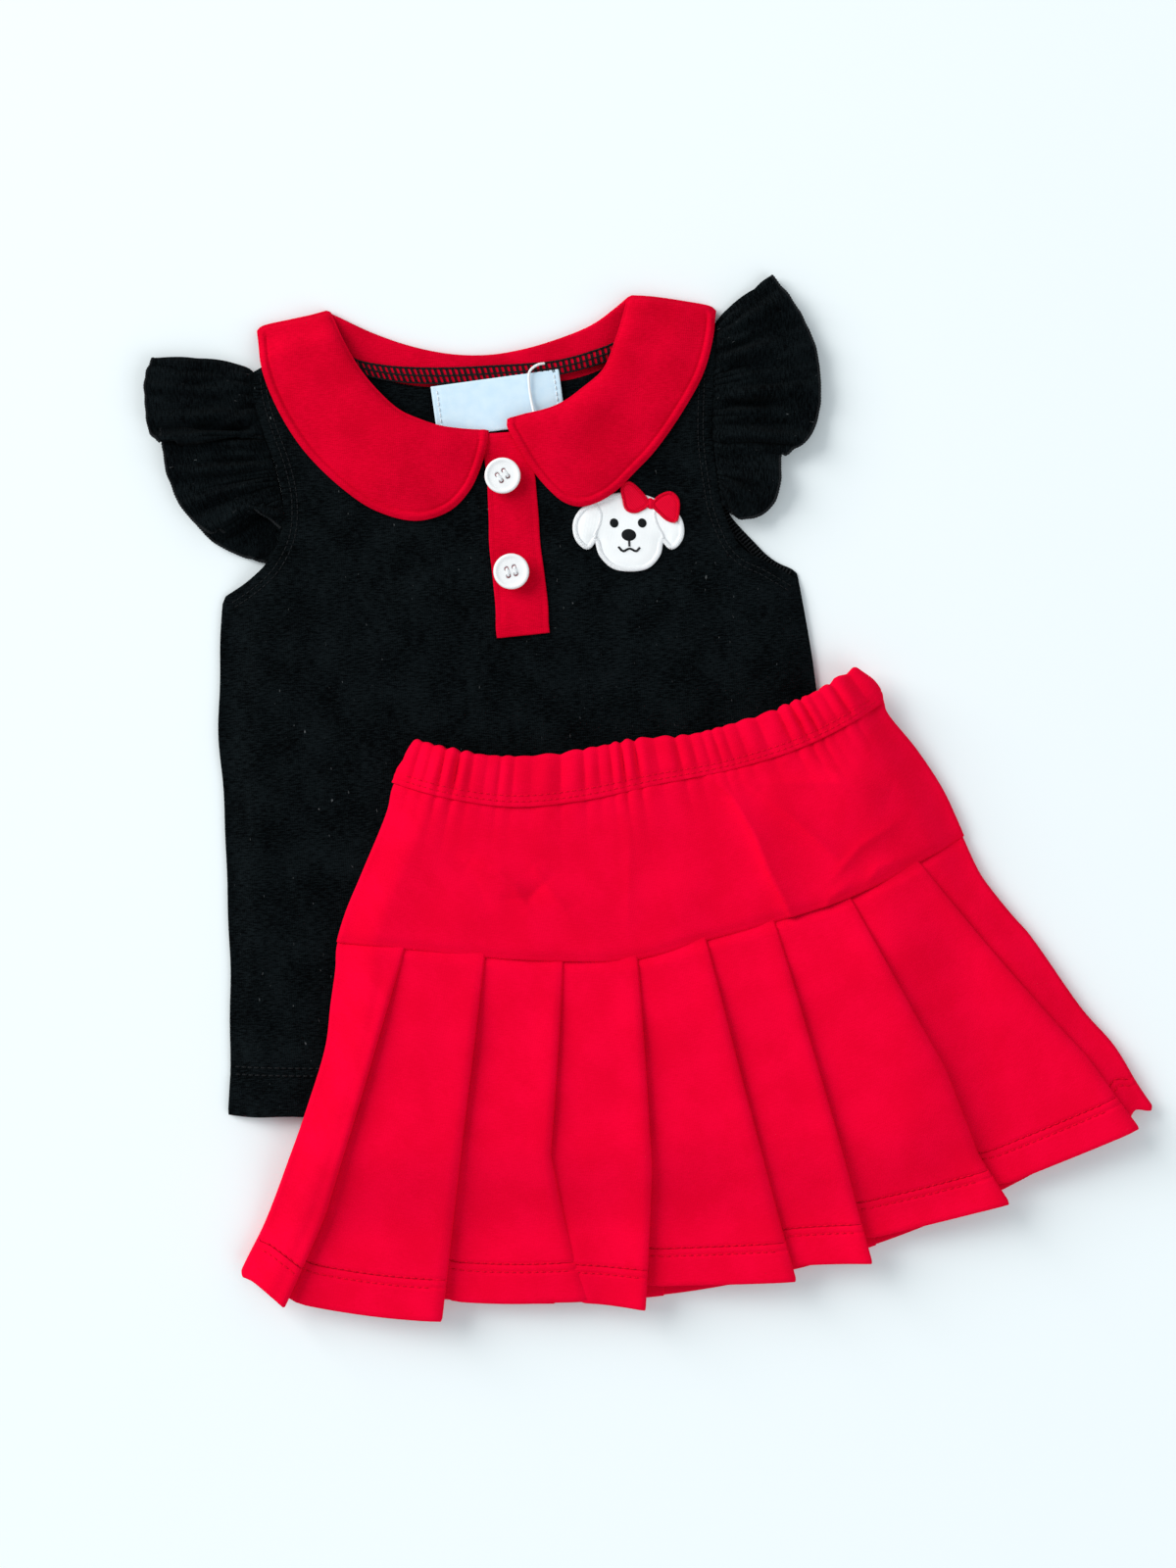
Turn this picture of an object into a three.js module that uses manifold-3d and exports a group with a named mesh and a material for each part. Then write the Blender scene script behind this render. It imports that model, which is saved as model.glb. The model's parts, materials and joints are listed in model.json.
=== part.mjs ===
// A child's two-piece cheer uniform, lying flat: a black top with a red collar,
// and a red pleated skirt that lies across the lower half of the top.
// Millimetres, +Z up, +Y towards the neck, +X to the right.

import * as THREE from 'three';
import { mergeVertices } from 'three/addons/utils/BufferGeometryUtils.js';
import Module from 'manifold-3d';

const wasm = await Module();
wasm.setup();

const rad = THREE.MathUtils.degToRad;

// ---------------------------------------------------------------- dimensions

// Cloth
const PLY = 0.8; // one ply of jersey
const GAP = 0.35; // clearance between pieces that touch
const NARROW_BAND = 0.5; // a bound or overlocked edge is this thick

// How the two garments lie
const TOP_AT = new THREE.Vector2(-57.8, 89.2); // middle of the chest line
const TOP_TURN = rad(4.5);
const SKIRT_AT = new THREE.Vector2(-38.2, 221.1); // the point that the pleats fan out from
const SKIRT_TURN = rad(9);
const SLANT = -0.042; // the top's cross lines drop to the right by this
const NECK_SHIFT = -4; // the neck has slid this far to the left

// Top
const CHEST = 240; // width across the underarms
const HEM_WIDTH = 272;
const BODY_LENGTH = 218; // chest line to hem
const HEM_SAG = 4;
const NECK_Y = 118; // chest line to the neck end of the shoulder
const NECK_HALF = 61;
const FRONT_NECK_DROP = 54;
const FRONT_NECK_POWER = 2.45;
const BACK_NECK_DROP = 31;
const BACK_NECK_POWER = 3;
const COLLAR_ROLL_DROP = 22; // the back collar rolls over this far below the shoulder
const COLLAR_ROLL_POWER = 1.8;
const SHOULDER_INSET = 21; // the shoulder tip is this far inside the underarm
const SHOULDER_FALL = 12; // and this far below the neck end of the shoulder
const ARMHOLE_INSET = 29; // deepest point of the armhole, inside the underarm
const TOP_LOFT = 5.5; // air between the front and the back
const SIDE_SLOPE = 15; // the front comes down to the back over this distance
const SHOULDER_SLOPE = 12;
const ARMHOLE_BAND = 4.6;

// Collar
const COLLAR_LIFT = 2.2; // clears the placket and the bow that it lies over
const COLLAR_MARGIN = 5; // the collar stops this far short of the shoulder's tip
const COLLAR_FLARE = 8; // the front ends are this much wider than the shoulders
const COLLAR_ROUND = 30; // length of neck edge over which a front end rounds off
const COLLAR_GAP = 10; // between the two front ends
const COLLAR_OVERHANG = 3; // the roll stands inside the neck seam by this much
const COLLAR_BACK_WIDTH = 50;
const COLLAR_FOLD_CLEAR = 6.5; // a front half folds along a line this far outside its roll
const COLLAR_FOLD_SLOPE = rad(38.7);
const COLLAR_FOLD_LENGTH = 90;

// Placket and buttons
const PLACKET_WIDTH = 21.4;
const PLACKET_LENGTH = 86;
const PLACKET_TURN = rad(1.8);
const BUTTON_RADIUS = 7.5;
const BUTTON_HEIGHT = 2.8;
const BUTTON_RIM = 1.5;
const BUTTON_DISH = 0.9; // depth of the middle below the rim
const BUTTON_HOLE_RADIUS = 0.8;
const BUTTON_HOLE_SPAN = 3.2; // side of the square that the four holes make
const THREAD_RADIUS = 0.45;
const BUTTON_SHANK = 1.05; // room under a button for the pad of its thread
const BUTTON_FROM_TOP = 19.5; // placket's top edge to the upper button
const BUTTON_PITCH = 40;

// Neck finish
const SEAM_TAPE_WIDTH = 6;
const LABEL_WIDTH = 54;
const LABEL_HEIGHT = 22;
const LABEL_THICKNESS = 0.4;
const LABEL_TURN = rad(3.4);
const STRING_DIAMETER = 1.1;

// Motif on the chest
const PATCH_AT = new THREE.Vector2(50.7, 20.3);
const PATCH_WIDTH = 45;
const PATCH_HEIGHT = 31.5;
const PATCH_THICKNESS = 0.6;
const PATCH_TURN = rad(-2);

// Sleeve ruffles
const RUFFLE_FRONT_WAVE = 1.1; // half the height of the free edge's waves
const RUFFLE_BACK_WAVE = 0.5;
const RUFFLE_WAVES = 6;
const RUFFLE_THICKNESS = 1.2;

// Skirt, as rings about the point that the pleats fan out from
const BAND_TOP = 204;
const BAND_HEIGHT = 18.5;
const YOKE_DEPTH = 67.5;
const PLEAT_DEPTH = 147;
const HEM_LEAN = 14; // the hem lies this much longer on the left, for each radian
const FAN_HALF = rad(26.6);
const CASING_THICKNESS = 3;
const CASING_WALL = 0.7;
const ELASTIC_THICKNESS = 0.8;
const SKIRT_LOFT = 4.7;
const SKIRT_SLOPE = 15;
const PLEAT_COUNT = 8; // folds across the front, and as many across the back
const PLEAT_SPREAD = 1.12; // the folds are this much further apart at the hem
const PLEAT_PLY = 0.7;
const PLEAT_RISE = 2.8;
const PLEAT_MITRE = 0.05; // room below for the mitred corners of the folds
const UNDERLAP_SEAM = 14; // cloth tucked behind each fold, at the yoke and at the hem
const UNDERLAP_HEM = 8.5;
const DRAPE_REACH = 10; // the skirt stays level this far past the top's edge
const DRAPE_SLOPE = 40; // and comes down to the floor over this distance

// What follows from those sizes
const SHOULDER_TIP = new THREE.Vector2(CHEST / 2 - SHOULDER_INSET, NECK_Y - SHOULDER_FALL);
const COLLAR_WIDTH = SHOULDER_TIP.x - NECK_HALF - COLLAR_MARGIN;
const PLACKET_TOP_Y = NECK_Y - FRONT_NECK_DROP + 0.5;
const BUTTON_UPPER = { x: 0.5, y: PLACKET_TOP_Y - BUTTON_FROM_TOP, turn: rad(30) };
const BUTTON_LOWER = { x: 0.4, y: BUTTON_UPPER.y - BUTTON_PITCH, turn: rad(10) };
const LABEL_Y = NECK_Y - BACK_NECK_DROP - LABEL_HEIGHT / 2;
const COLLAR_BACK_HALF = NECK_HALF + COLLAR_WIDTH;
const COLLAR_BACK_DROP = COLLAR_ROLL_DROP + COLLAR_BACK_WIDTH;
const PLEAT_PITCH = 2 * FAN_HALF / (PLEAT_COUNT + 0.58);

const BLACK = 0x0b0e11;
const RED = 0xd3002b;
const SKIRT_RED = 0xdf0030;
const WHITE = 0xf6f6f4;

// ------------------------------------------------------------------- helpers

const clamp01 = (t) => Math.min(1, Math.max(0, t));

// 0 at d = 0, rising smoothly to 1 at d = width.
function rise(d, width) {
  const t = clamp01(d / width);
  return t * t * (3 - 2 * t);
}

function toSolid(geometry) {
  const bare = geometry.clone();
  bare.deleteAttribute('normal');
  bare.deleteAttribute('uv');
  const merged = mergeVertices(bare, 1e-4);
  return new wasm.Manifold(new wasm.Mesh({
    numProp: 3,
    vertProperties: new Float32Array(merged.attributes.position.array),
    triVerts: new Uint32Array(merged.index.array),
  }));
}

function toGeometry(solid) {
  const { vertProperties, triVerts } = solid.getMesh();
  const geometry = new THREE.BufferGeometry();
  geometry.setAttribute('position', new THREE.BufferAttribute(vertProperties, 3));
  geometry.setIndex(new THREE.BufferAttribute(triVerts, 1));
  geometry.computeVertexNormals();
  return geometry;
}

// A closed slab over a grid: at(i, j) gives [x, y], and low and high give its two heights there.
function gridSlab(columns, rows, at, low, high) {
  const points = [];
  const faces = [];
  const index = (side, i, j) => side * (columns + 1) * (rows + 1) + j * (columns + 1) + i;
  for (const height of [low, high]) {
    for (let j = 0; j <= rows; j += 1) {
      for (let i = 0; i <= columns; i += 1) {
        const [x, y] = at(i, j);
        points.push(x, y, height(i, j));
      }
    }
  }
  const quad = (a, b, c, d) => faces.push(a, b, c, a, c, d);
  for (let j = 0; j < rows; j += 1) {
    for (let i = 0; i < columns; i += 1) {
      quad(index(1, i, j), index(1, i + 1, j), index(1, i + 1, j + 1), index(1, i, j + 1));
      quad(index(0, i, j), index(0, i, j + 1), index(0, i + 1, j + 1), index(0, i + 1, j));
    }
  }
  for (let i = 0; i < columns; i += 1) {
    quad(index(0, i, 0), index(0, i + 1, 0), index(1, i + 1, 0), index(1, i, 0));
    quad(index(0, i + 1, rows), index(0, i, rows), index(1, i, rows), index(1, i + 1, rows));
  }
  for (let j = 0; j < rows; j += 1) {
    quad(index(0, 0, j + 1), index(0, 0, j), index(1, 0, j), index(1, 0, j + 1));
    quad(index(0, columns, j), index(0, columns, j + 1), index(1, columns, j + 1), index(1, columns, j));
  }
  return facesOut(points, faces);
}

// A closed geometry with its faces pointing out, whichever way round it was wound.
function facesOut(points, faces) {
  let volume = 0;
  const a = new THREE.Vector3();
  const b = new THREE.Vector3();
  const c = new THREE.Vector3();
  for (let k = 0; k < faces.length; k += 3) {
    a.fromArray(points, faces[k] * 3);
    b.fromArray(points, faces[k + 1] * 3);
    c.fromArray(points, faces[k + 2] * 3);
    volume += a.dot(b.cross(c));
  }
  const index = volume < 0 ? [...faces].reverse() : faces;
  const geometry = new THREE.BufferGeometry();
  geometry.setAttribute('position', new THREE.Float32BufferAttribute(points, 3));
  geometry.setIndex(index);
  geometry.computeVertexNormals();
  return geometry;
}

function mesh(name, geometry, colour, roughness = 0.9) {
  const material = new THREE.MeshStandardMaterial({ color: colour, roughness, metalness: 0 });
  const made = new THREE.Mesh(geometry, material);
  made.name = name;
  return made;
}

// --------------------------------------------------- the top's shape and lie

// A point of the top as cut, moved to where it lies.
function lie(x, y) {
  const slid = NECK_SHIFT * (Math.max(0, y) / NECK_Y) ** 2;
  return new THREE.Vector2(x + slid, y + SLANT * x);
}

// Half the body's width at height y, along the side seams.
const sideHalf = (y) => THREE.MathUtils.lerp(CHEST / 2, HEM_WIDTH / 2, -y / BODY_LENGTH);

function distanceToSegment(p, a, b) {
  const along = b.clone().sub(a);
  const t = clamp01(p.clone().sub(a).dot(along) / along.lengthSq());
  return p.distanceTo(along.multiplyScalar(t).add(a));
}

// A neck curve as cut: below the shoulder's neck end by up to `drop`, from side to side.
function neckCurve(half, drop, power, steps) {
  const points = [];
  for (let k = 0; k <= steps; k += 1) {
    const angle = Math.PI * (k / steps);
    const x = half * Math.sign(Math.cos(angle)) * Math.abs(Math.cos(angle)) ** (2 / power);
    points.push(new THREE.Vector2(x, NECK_Y - drop * Math.sin(angle) ** (2 / power)));
  }
  return points;
}

// The right armhole as cut, from the underarm up to the shoulder tip.
function armhole(steps) {
  const curve = new THREE.SplineCurve([
    new THREE.Vector2(CHEST / 2, 0),
    new THREE.Vector2(CHEST / 2 - ARMHOLE_INSET * 0.55, SHOULDER_TIP.y * 0.07),
    new THREE.Vector2(CHEST / 2 - ARMHOLE_INSET * 0.9, SHOULDER_TIP.y * 0.19),
    new THREE.Vector2(CHEST / 2 - ARMHOLE_INSET, SHOULDER_TIP.y * 0.4),
    new THREE.Vector2(CHEST / 2 - ARMHOLE_INSET * 0.9, SHOULDER_TIP.y * 0.68),
    SHOULDER_TIP,
  ]);
  return curve.getPoints(steps);
}

const mirrored = (points) => points.map((p) => new THREE.Vector2(-p.x, p.y)).reverse();

function panelOutline(neck) {
  const arm = armhole(14);
  const hem = [];
  for (let k = 0; k <= 8; k += 1) {
    const x = (k / 4 - 1) * (HEM_WIDTH / 2);
    hem.push(new THREE.Vector2(x, -BODY_LENGTH - HEM_SAG * (1 - (2 * x / HEM_WIDTH) ** 2)));
  }
  return [...hem, ...arm, ...neck, ...mirrored(arm)];
}

// How far the back is lifted by the collar that lies under it.
function backLift(x, y) {
  const reach = Math.hypot(x / COLLAR_BACK_HALF, (NECK_Y - y) / COLLAR_BACK_DROP);
  return (PLY + GAP) * (1 - rise((reach - 1) * COLLAR_BACK_DROP - 6, 18));
}

// Height of the front's outer face.
function frontHeight(x, y) {
  const p = new THREE.Vector2(Math.abs(x), y);
  const hem = new THREE.Vector2(HEM_WIDTH / 2, -BODY_LENGTH - HEM_SAG);
  const side = distanceToSegment(p, new THREE.Vector2(CHEST / 2, 0), hem);
  const shoulder = distanceToSegment(p, new THREE.Vector2(NECK_HALF, NECK_Y), SHOULDER_TIP);
  const loft = TOP_LOFT * rise(side, SIDE_SLOPE) * rise(shoulder, SHOULDER_SLOPE);
  return backLift(x, y) + PLY + GAP + loft + PLY;
}

const FRONT_TOP = PLY + GAP + TOP_LOFT + PLY; // the front's level part, clear of the collar

// Every piece of the top is cut from sheets over one grid, so that their faces keep their gaps.
const GRID_HALF = Math.max(CHEST, HEM_WIDTH) / 2;
const GRID_X = [0.09, 0.25, 0.41, 0.56, 0.66, 0.75, 0.82, 0.89, 0.95, 1.05].map((t) => t * GRID_HALF);
const GRID_BELOW = [1.05, 0.8, 0.54, 0.3, 0.08].map((t) => -t * BODY_LENGTH);
const GRID_ABOVE = [0.07, 0.2, 0.34, 0.47, 0.62, 0.76, 0.86, 0.94, 1.07].map((t) => t * NECK_Y);
const GRID_Y = [...GRID_BELOW, ...GRID_ABOVE];

function sheetOver(height, low, high) {
  const xs = [...GRID_X.map((x) => -x).reverse(), ...GRID_X];
  const at = (i, j) => lie(xs[i], GRID_Y[j]).toArray();
  const level = (offset) => (i, j) => height(xs[i], GRID_Y[j]) + offset;
  return toSolid(gridSlab(xs.length - 1, GRID_Y.length - 1, at, level(low), level(high)));
}

const PRISM_DEPTH = 80;

function prism(points) {
  const geometry = new THREE.ExtrudeGeometry(new THREE.Shape(points), {
    depth: PRISM_DEPTH,
    bevelEnabled: false,
    curveSegments: 1,
  });
  geometry.translate(0, 0, -PRISM_DEPTH / 2);
  return toSolid(geometry);
}

const laid = (points) => points.map((p) => lie(p.x, p.y));

function cutFrom(sheet, points) {
  return sheet.intersect(prism(laid(points)));
}

// ------------------------------------------------------------- top: the body

function backPanel() {
  const sheet = sheetOver(backLift, 0, PLY);
  return cutFrom(sheet, panelOutline(neckCurve(NECK_HALF, BACK_NECK_DROP, BACK_NECK_POWER, 20)));
}

function frontPanel() {
  const sheet = sheetOver(frontHeight, -PLY, 0);
  return cutFrom(sheet, panelOutline(neckCurve(NECK_HALF, FRONT_NECK_DROP, FRONT_NECK_POWER, 20)));
}

// The bound edge round the front of an armhole, on the outside.
function armholeBand(side) {
  const outer = armhole(14).map((p) => new THREE.Vector2(side * (p.x - 0.6), p.y));
  const inner = armhole(14).map((p) => new THREE.Vector2(side * (p.x - 0.6 - ARMHOLE_BAND), p.y - 1));
  const inset = new THREE.Vector2(side * (CHEST / 2 - 6), -ARMHOLE_BAND);
  const outline = [...outer, ...inner.slice(1).reverse(), inset];
  return cutFrom(sheetOver(frontHeight, GAP, GAP + NARROW_BAND), outline);
}

// The band of cloth between two neck curves, of the width that both have.
function neckStrip(outer, inner) {
  return [...outer, ...[...inner].reverse()];
}

function collarStand() {
  const half = NECK_HALF - GAP;
  const roll = neckCurve(half, COLLAR_ROLL_DROP, COLLAR_ROLL_POWER, 20).slice(1, -1);
  const seam = neckCurve(half, BACK_NECK_DROP - GAP, BACK_NECK_POWER, 20).slice(1, -1);
  return cutFrom(sheetOver(backLift, 0, PLY), neckStrip(roll, seam));
}

// The overlocked neck seam, folded down on to the inside of the back.
function neckSeamTape() {
  const edge = (offset) => neckCurve(NECK_HALF - 2, BACK_NECK_DROP + offset, BACK_NECK_POWER, 20);
  const outline = neckStrip(
    edge(-SEAM_TAPE_WIDTH / 2).slice(1, -1),
    edge(SEAM_TAPE_WIDTH / 2).slice(1, -1),
  );
  return cutFrom(sheetOver(backLift, PLY + GAP, PLY + GAP + PLY), outline);
}

function collarBack() {
  const outer = neckCurve(COLLAR_BACK_HALF, COLLAR_BACK_DROP, 2, 24).map(
    (p) => new THREE.Vector2(p.x, Math.min(p.y, NECK_Y - 5)),
  );
  const roll = neckCurve(NECK_HALF + 2, COLLAR_ROLL_DROP, COLLAR_ROLL_POWER, 24).map(
    (p) => new THREE.Vector2(p.x, Math.min(p.y, NECK_Y - 2)),
  );
  return cutFrom(sheetOver(() => 0, 0, PLY), neckStrip(outer, roll));
}

// ------------------------------------------------------------ top: the collar

// The edge that the right front half of the collar rolls over, from the shoulder to the front.
const COLLAR_ROLL = neckCurve(NECK_HALF, FRONT_NECK_DROP - COLLAR_OVERHANG, FRONT_NECK_POWER, 44)
  .filter((p) => p.x > COLLAR_GAP / 2);

// Half of the front collar as cut: along the roll, and back along the outer edge, which
// narrows a little from the rounded front end to the shoulder.
function collarOutline(side) {
  const roll = COLLAR_ROLL;
  const front = roll[roll.length - 1];
  const fullLength = roll.slice(1).reduce((sum, p, k) => sum + p.distanceTo(roll[k]), 0);
  const outer = [];
  let fromFront = 0;
  for (let k = roll.length - 2; k >= 0; k -= 1) {
    const along = roll[k].clone().sub(roll[k + 1]);
    fromFront += along.length();
    const short = Math.max(0, 1 - fromFront / COLLAR_ROUND);
    const flare = COLLAR_FLARE * (1 - fromFront / fullLength);
    const width = (COLLAR_WIDTH + flare) * Math.sqrt(1 - short ** 2);
    const out = new THREE.Vector2(along.y, -along.x).normalize();
    const p = roll[k].clone().addScaledVector(out, width);
    p.y = Math.min(p.y, NECK_Y - (p.x - NECK_HALF) * (SHOULDER_FALL / (SHOULDER_TIP.x - NECK_HALF)) - 1);
    outer.push(p);
  }
  const points = [...roll, new THREE.Vector2(front.x + 0.5, front.y - 6), ...outer];
  return points.map((p) => new THREE.Vector2(side * p.x, p.y));
}

// The line that the right front half folds up along: outside the roll by its clearance.
const FOLD_ALONG = new THREE.Vector2(-Math.cos(COLLAR_FOLD_SLOPE), -Math.sin(COLLAR_FOLD_SLOPE));
const FOLD_OUT = new THREE.Vector2(-FOLD_ALONG.y, FOLD_ALONG.x);
const FOLD_REACH = Math.max(...COLLAR_ROLL.map((p) => p.dot(FOLD_OUT))) + COLLAR_FOLD_CLEAR;
const COLLAR_FOLD = [-COLLAR_FOLD_LENGTH, 0].map(
  (t) => FOLD_OUT.clone().multiplyScalar(FOLD_REACH).addScaledVector(FOLD_ALONG, t),
);
const HALF_PLANE = 250; // reaches past the whole collar, whatever its size

// The half plane on the neck side (+1) or the outer side (-1) of the fold line, as a prism.
function foldSide(side, which) {
  const [a, b] = COLLAR_FOLD.map((p) => lie(side * p.x, p.y));
  const along = b.clone().sub(a).normalize();
  const across = new THREE.Vector2(-along.y, along.x).multiplyScalar(side * -which);
  const near = across.clone().multiplyScalar(GAP / 2);
  const far = across.clone().multiplyScalar(HALF_PLANE);
  const start = a.clone().addScaledVector(along, -HALF_PLANE);
  const end = b.clone().addScaledVector(along, HALF_PLANE);
  return prism([
    start.clone().add(near),
    end.clone().add(near),
    end.clone().add(far),
    start.clone().add(far),
  ]);
}

function collarPart(side, which, low, high) {
  return cutFrom(sheetOver(frontHeight, low, high), collarOutline(side)).intersect(foldSide(side, which));
}

const COLLAR_UNDER = [COLLAR_LIFT, COLLAR_LIFT + PLY];
const COLLAR_UPPER = [COLLAR_LIFT + PLY + GAP, COLLAR_LIFT + PLY + GAP + PLY];

// ------------------------------------------------- top: placket and buttons

function placket() {
  const turn = (x, y) => new THREE.Vector2(x, y - BUTTON_UPPER.y)
    .rotateAround(new THREE.Vector2(), PLACKET_TURN)
    .add(new THREE.Vector2(0.3, BUTTON_UPPER.y));
  const half = PLACKET_WIDTH / 2;
  const bottom = PLACKET_TOP_Y - PLACKET_LENGTH;
  const points = [
    turn(-half, bottom),
    turn(half, bottom),
    turn(half, PLACKET_TOP_Y - 1.5),
    turn(-half, PLACKET_TOP_Y - 1.5),
  ];
  return cutFrom(sheetOver(frontHeight, GAP, GAP + PLY), points);
}

function cylinder(radius, height, x, y, z, segments) {
  const geometry = new THREE.CylinderGeometry(radius, radius, height, segments);
  geometry.rotateX(Math.PI / 2);
  geometry.translate(x, y, z + height / 2);
  return toSolid(geometry);
}

const holeCentres = [[-1, -1], [1, -1], [1, 1], [-1, 1]].map(
  ([i, j]) => [i * BUTTON_HOLE_SPAN / 2, j * BUTTON_HOLE_SPAN / 2],
);

// A four-hole shirt button with a round rim and a dished middle, standing on z = 0.
function button() {
  const r = BUTTON_RADIUS;
  const dish = BUTTON_HEIGHT - BUTTON_DISH;
  const profile = [
    [0, 0], [r - 1.6, 0], [r - 0.4, 0.7], [r, 1.5], [r - 0.3, BUTTON_HEIGHT - 0.4],
    [r - BUTTON_RIM / 2, BUTTON_HEIGHT], [r - BUTTON_RIM, BUTTON_HEIGHT - 0.2],
    [r - BUTTON_RIM - 1, dish], [0, dish],
  ].map(([x, y]) => new THREE.Vector2(x, y));
  const lathe = new THREE.LatheGeometry(profile, 24);
  lathe.rotateX(Math.PI / 2);
  let solid = toSolid(lathe);
  for (const [x, y] of holeCentres) {
    solid = solid.subtract(cylinder(BUTTON_HOLE_RADIUS, BUTTON_HEIGHT * 2, x, y, -1, 8));
  }
  return solid;
}

// The thread: a pad under the button, a post up each hole and a bar across each pair.
function buttonThread() {
  const top = BUTTON_HEIGHT - BUTTON_DISH + GAP;
  let solid = cylinder(BUTTON_HOLE_SPAN * 0.9, 0.3, 0, 0, -GAP - 0.3, 10);
  for (const [x, y] of holeCentres) {
    solid = solid.add(cylinder(THREAD_RADIUS, top + GAP + 0.2, x, y, -GAP - 0.2, 6));
  }
  for (const side of [-1, 1]) {
    const bar = new THREE.BoxGeometry(2 * THREAD_RADIUS, BUTTON_HOLE_SPAN + 2 * THREAD_RADIUS, 0.7);
    bar.translate(side * BUTTON_HOLE_SPAN / 2, 0, top + 0.1);
    solid = solid.add(toSolid(bar));
  }
  return solid;
}

function buttonPair(name, place) {
  const seat = frontHeight(place.x, place.y) + GAP + PLY;
  const made = new THREE.Group();
  made.add(mesh(name, toGeometry(button()), WHITE, 0.35));
  made.add(mesh(`${name}_thread`, toGeometry(buttonThread()), WHITE, 0.8));
  made.position.set(...lie(place.x, place.y).toArray(), seat + BUTTON_SHANK);
  made.rotation.z = place.turn;
  return made;
}

// ------------------------------------------------------ top: label and string

function neckLabel() {
  const geometry = new THREE.BoxGeometry(LABEL_WIDTH, LABEL_HEIGHT, LABEL_THICKNESS);
  const made = mesh('neck_label', geometry, 0xd2e6f4, 0.6);
  const seat = PLY + GAP + PLY + GAP + PLY + GAP;
  made.position.set(0.3, LABEL_Y, seat + LABEL_THICKNESS / 2);
  made.rotation.z = LABEL_TURN;
  return made;
}

// A tag's string: out of the neck seam, down over the label and in under the right collar.
function tagString() {
  const over = frontHeight(20, 50) + STRING_DIAMETER / 2 + 0.4;
  const route = [
    [21, 91.5, 3.9], [18, 91, 4.8], [14.6, 88.5, 5.2], [13.9, 83, 5.1], [14.2, 77, 5.2],
    [14.8, 72, 6.6], [15.3, 68, over - 0.4], [16, 63, over], [18, 57, over], [22, 51.5, over],
    [27, 47.5, over], [33, 45.5, over],
  ];
  const path = new THREE.CatmullRomCurve3(route.map((p) => new THREE.Vector3(...p)), false, 'centripetal');
  const section = new THREE.Shape();
  for (let k = 0; k < 8; k += 1) {
    const angle = (k / 8) * 2 * Math.PI;
    const point = [Math.cos(angle), Math.sin(angle)].map((c) => c * STRING_DIAMETER / 2);
    if (k === 0) section.moveTo(...point);
    else section.lineTo(...point);
  }
  section.closePath();
  return new THREE.ExtrudeGeometry(section, { steps: 20, extrudePath: path, bevelEnabled: false });
}

// ------------------------------------------------------------- top: the motif

const patchPoint = (x, y) => new THREE.Vector2(x * PATCH_WIDTH / 2, y * PATCH_HEIGHT / 2)
  .rotateAround(new THREE.Vector2(), PATCH_TURN)
  .add(PATCH_AT);

// A closed smooth outline through points given as shares of the patch's half size.
function patchShape(points, steps) {
  const curve = new THREE.SplineCurve(points.map(([x, y]) => patchPoint(x, y)));
  return curve.getPoints(steps).slice(0, -1);
}

// A plain puppy's head with two soft ears.
function patchHead() {
  const half = [
    [0, -1], [0.3, -0.93], [0.52, -0.62], [0.62, -0.2], [0.78, -0.42], [0.95, -0.2],
    [0.97, 0.25], [0.78, 0.62], [0.5, 0.82], [0.25, 0.94],
  ];
  const other = half.slice(1).reverse().map(([x, y]) => [-x, y]);
  return patchShape([...half, [0, 0.97], ...other, half[0]], 60);
}

function oval(x, y, rx, ry, steps = 12) {
  const points = [];
  for (let k = 0; k < steps; k += 1) {
    const angle = (k / steps) * 2 * Math.PI;
    points.push(patchPoint(x + rx * Math.cos(angle), y + ry * Math.sin(angle)));
  }
  return points;
}

const BOW_AT = [0.44, 0.74];

function bowLoop(side) {
  const [x, y] = BOW_AT;
  const loop = [
    [0.07, 0], [0.18, 0.26], [0.42, 0.42], [0.5, 0.05], [0.44, -0.34], [0.2, -0.24], [0.07, 0],
  ];
  const turned = loop.map(([dx, dy]) => [x + side * dx, y + dy - side * dx * 0.35]);
  return patchShape(turned, 20);
}

function motif() {
  const on = (low, high) => sheetOver(frontHeight, low, high);
  const face = GAP + PATCH_THICKNESS;
  const raised = [face + GAP, face + GAP + 0.4];
  const bow = on(raised[0], raised[1] + 0.1);
  const features = on(...raised);
  return [
    mesh('patch_face', toGeometry(cutFrom(on(GAP, face), patchHead())), WHITE),
    mesh('patch_eye_left', toGeometry(cutFrom(features, oval(-0.26, 0.22, 0.07, 0.11, 10))), BLACK),
    mesh('patch_eye_right', toGeometry(cutFrom(features, oval(0.26, 0.22, 0.07, 0.11, 10))), BLACK),
    mesh('patch_nose', toGeometry(cutFrom(features, oval(0, -0.1, 0.12, 0.14))), BLACK),
    mesh('patch_bow_left', toGeometry(cutFrom(bow, bowLoop(-1))), RED),
    mesh('patch_bow_right', toGeometry(cutFrom(bow, bowLoop(1))), RED),
    mesh('patch_bow_knot', toGeometry(cutFrom(bow, oval(...BOW_AT, 0.055, 0.1, 8))), RED),
  ];
}

// ------------------------------------------------------- top: sleeve ruffles

// Where each ruffle folds along its armhole, top to bottom, and its free edge between the two.
// A point is its distance outside the armhole's deepest line and its share of the way up from
// the ruffle's lower end to the shoulder tip.
const RUFFLE_LOW = 22;
const RUFFLES = {
  left: {
    fold: [[13.8, 0.9], [8.5, 0]],
    edge: [[13.8, 0.9], [33, 0.945], [54, 0.945], [54.5, 0.8], [53, 0.6], [46, 0.32], [33, 0.1],
      [19, 0], [8.5, 0]],
  },
  right: {
    fold: [[5.5, 0.95], [5.5, -0.03]],
    edge: [[5.5, 0.95], [13, 1.07], [26, 1.13], [38, 0.95], [43.5, 0.67], [40, 0.38], [26, 0.25],
      [19, 0.02], [5.5, -0.03]],
  },
};

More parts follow.
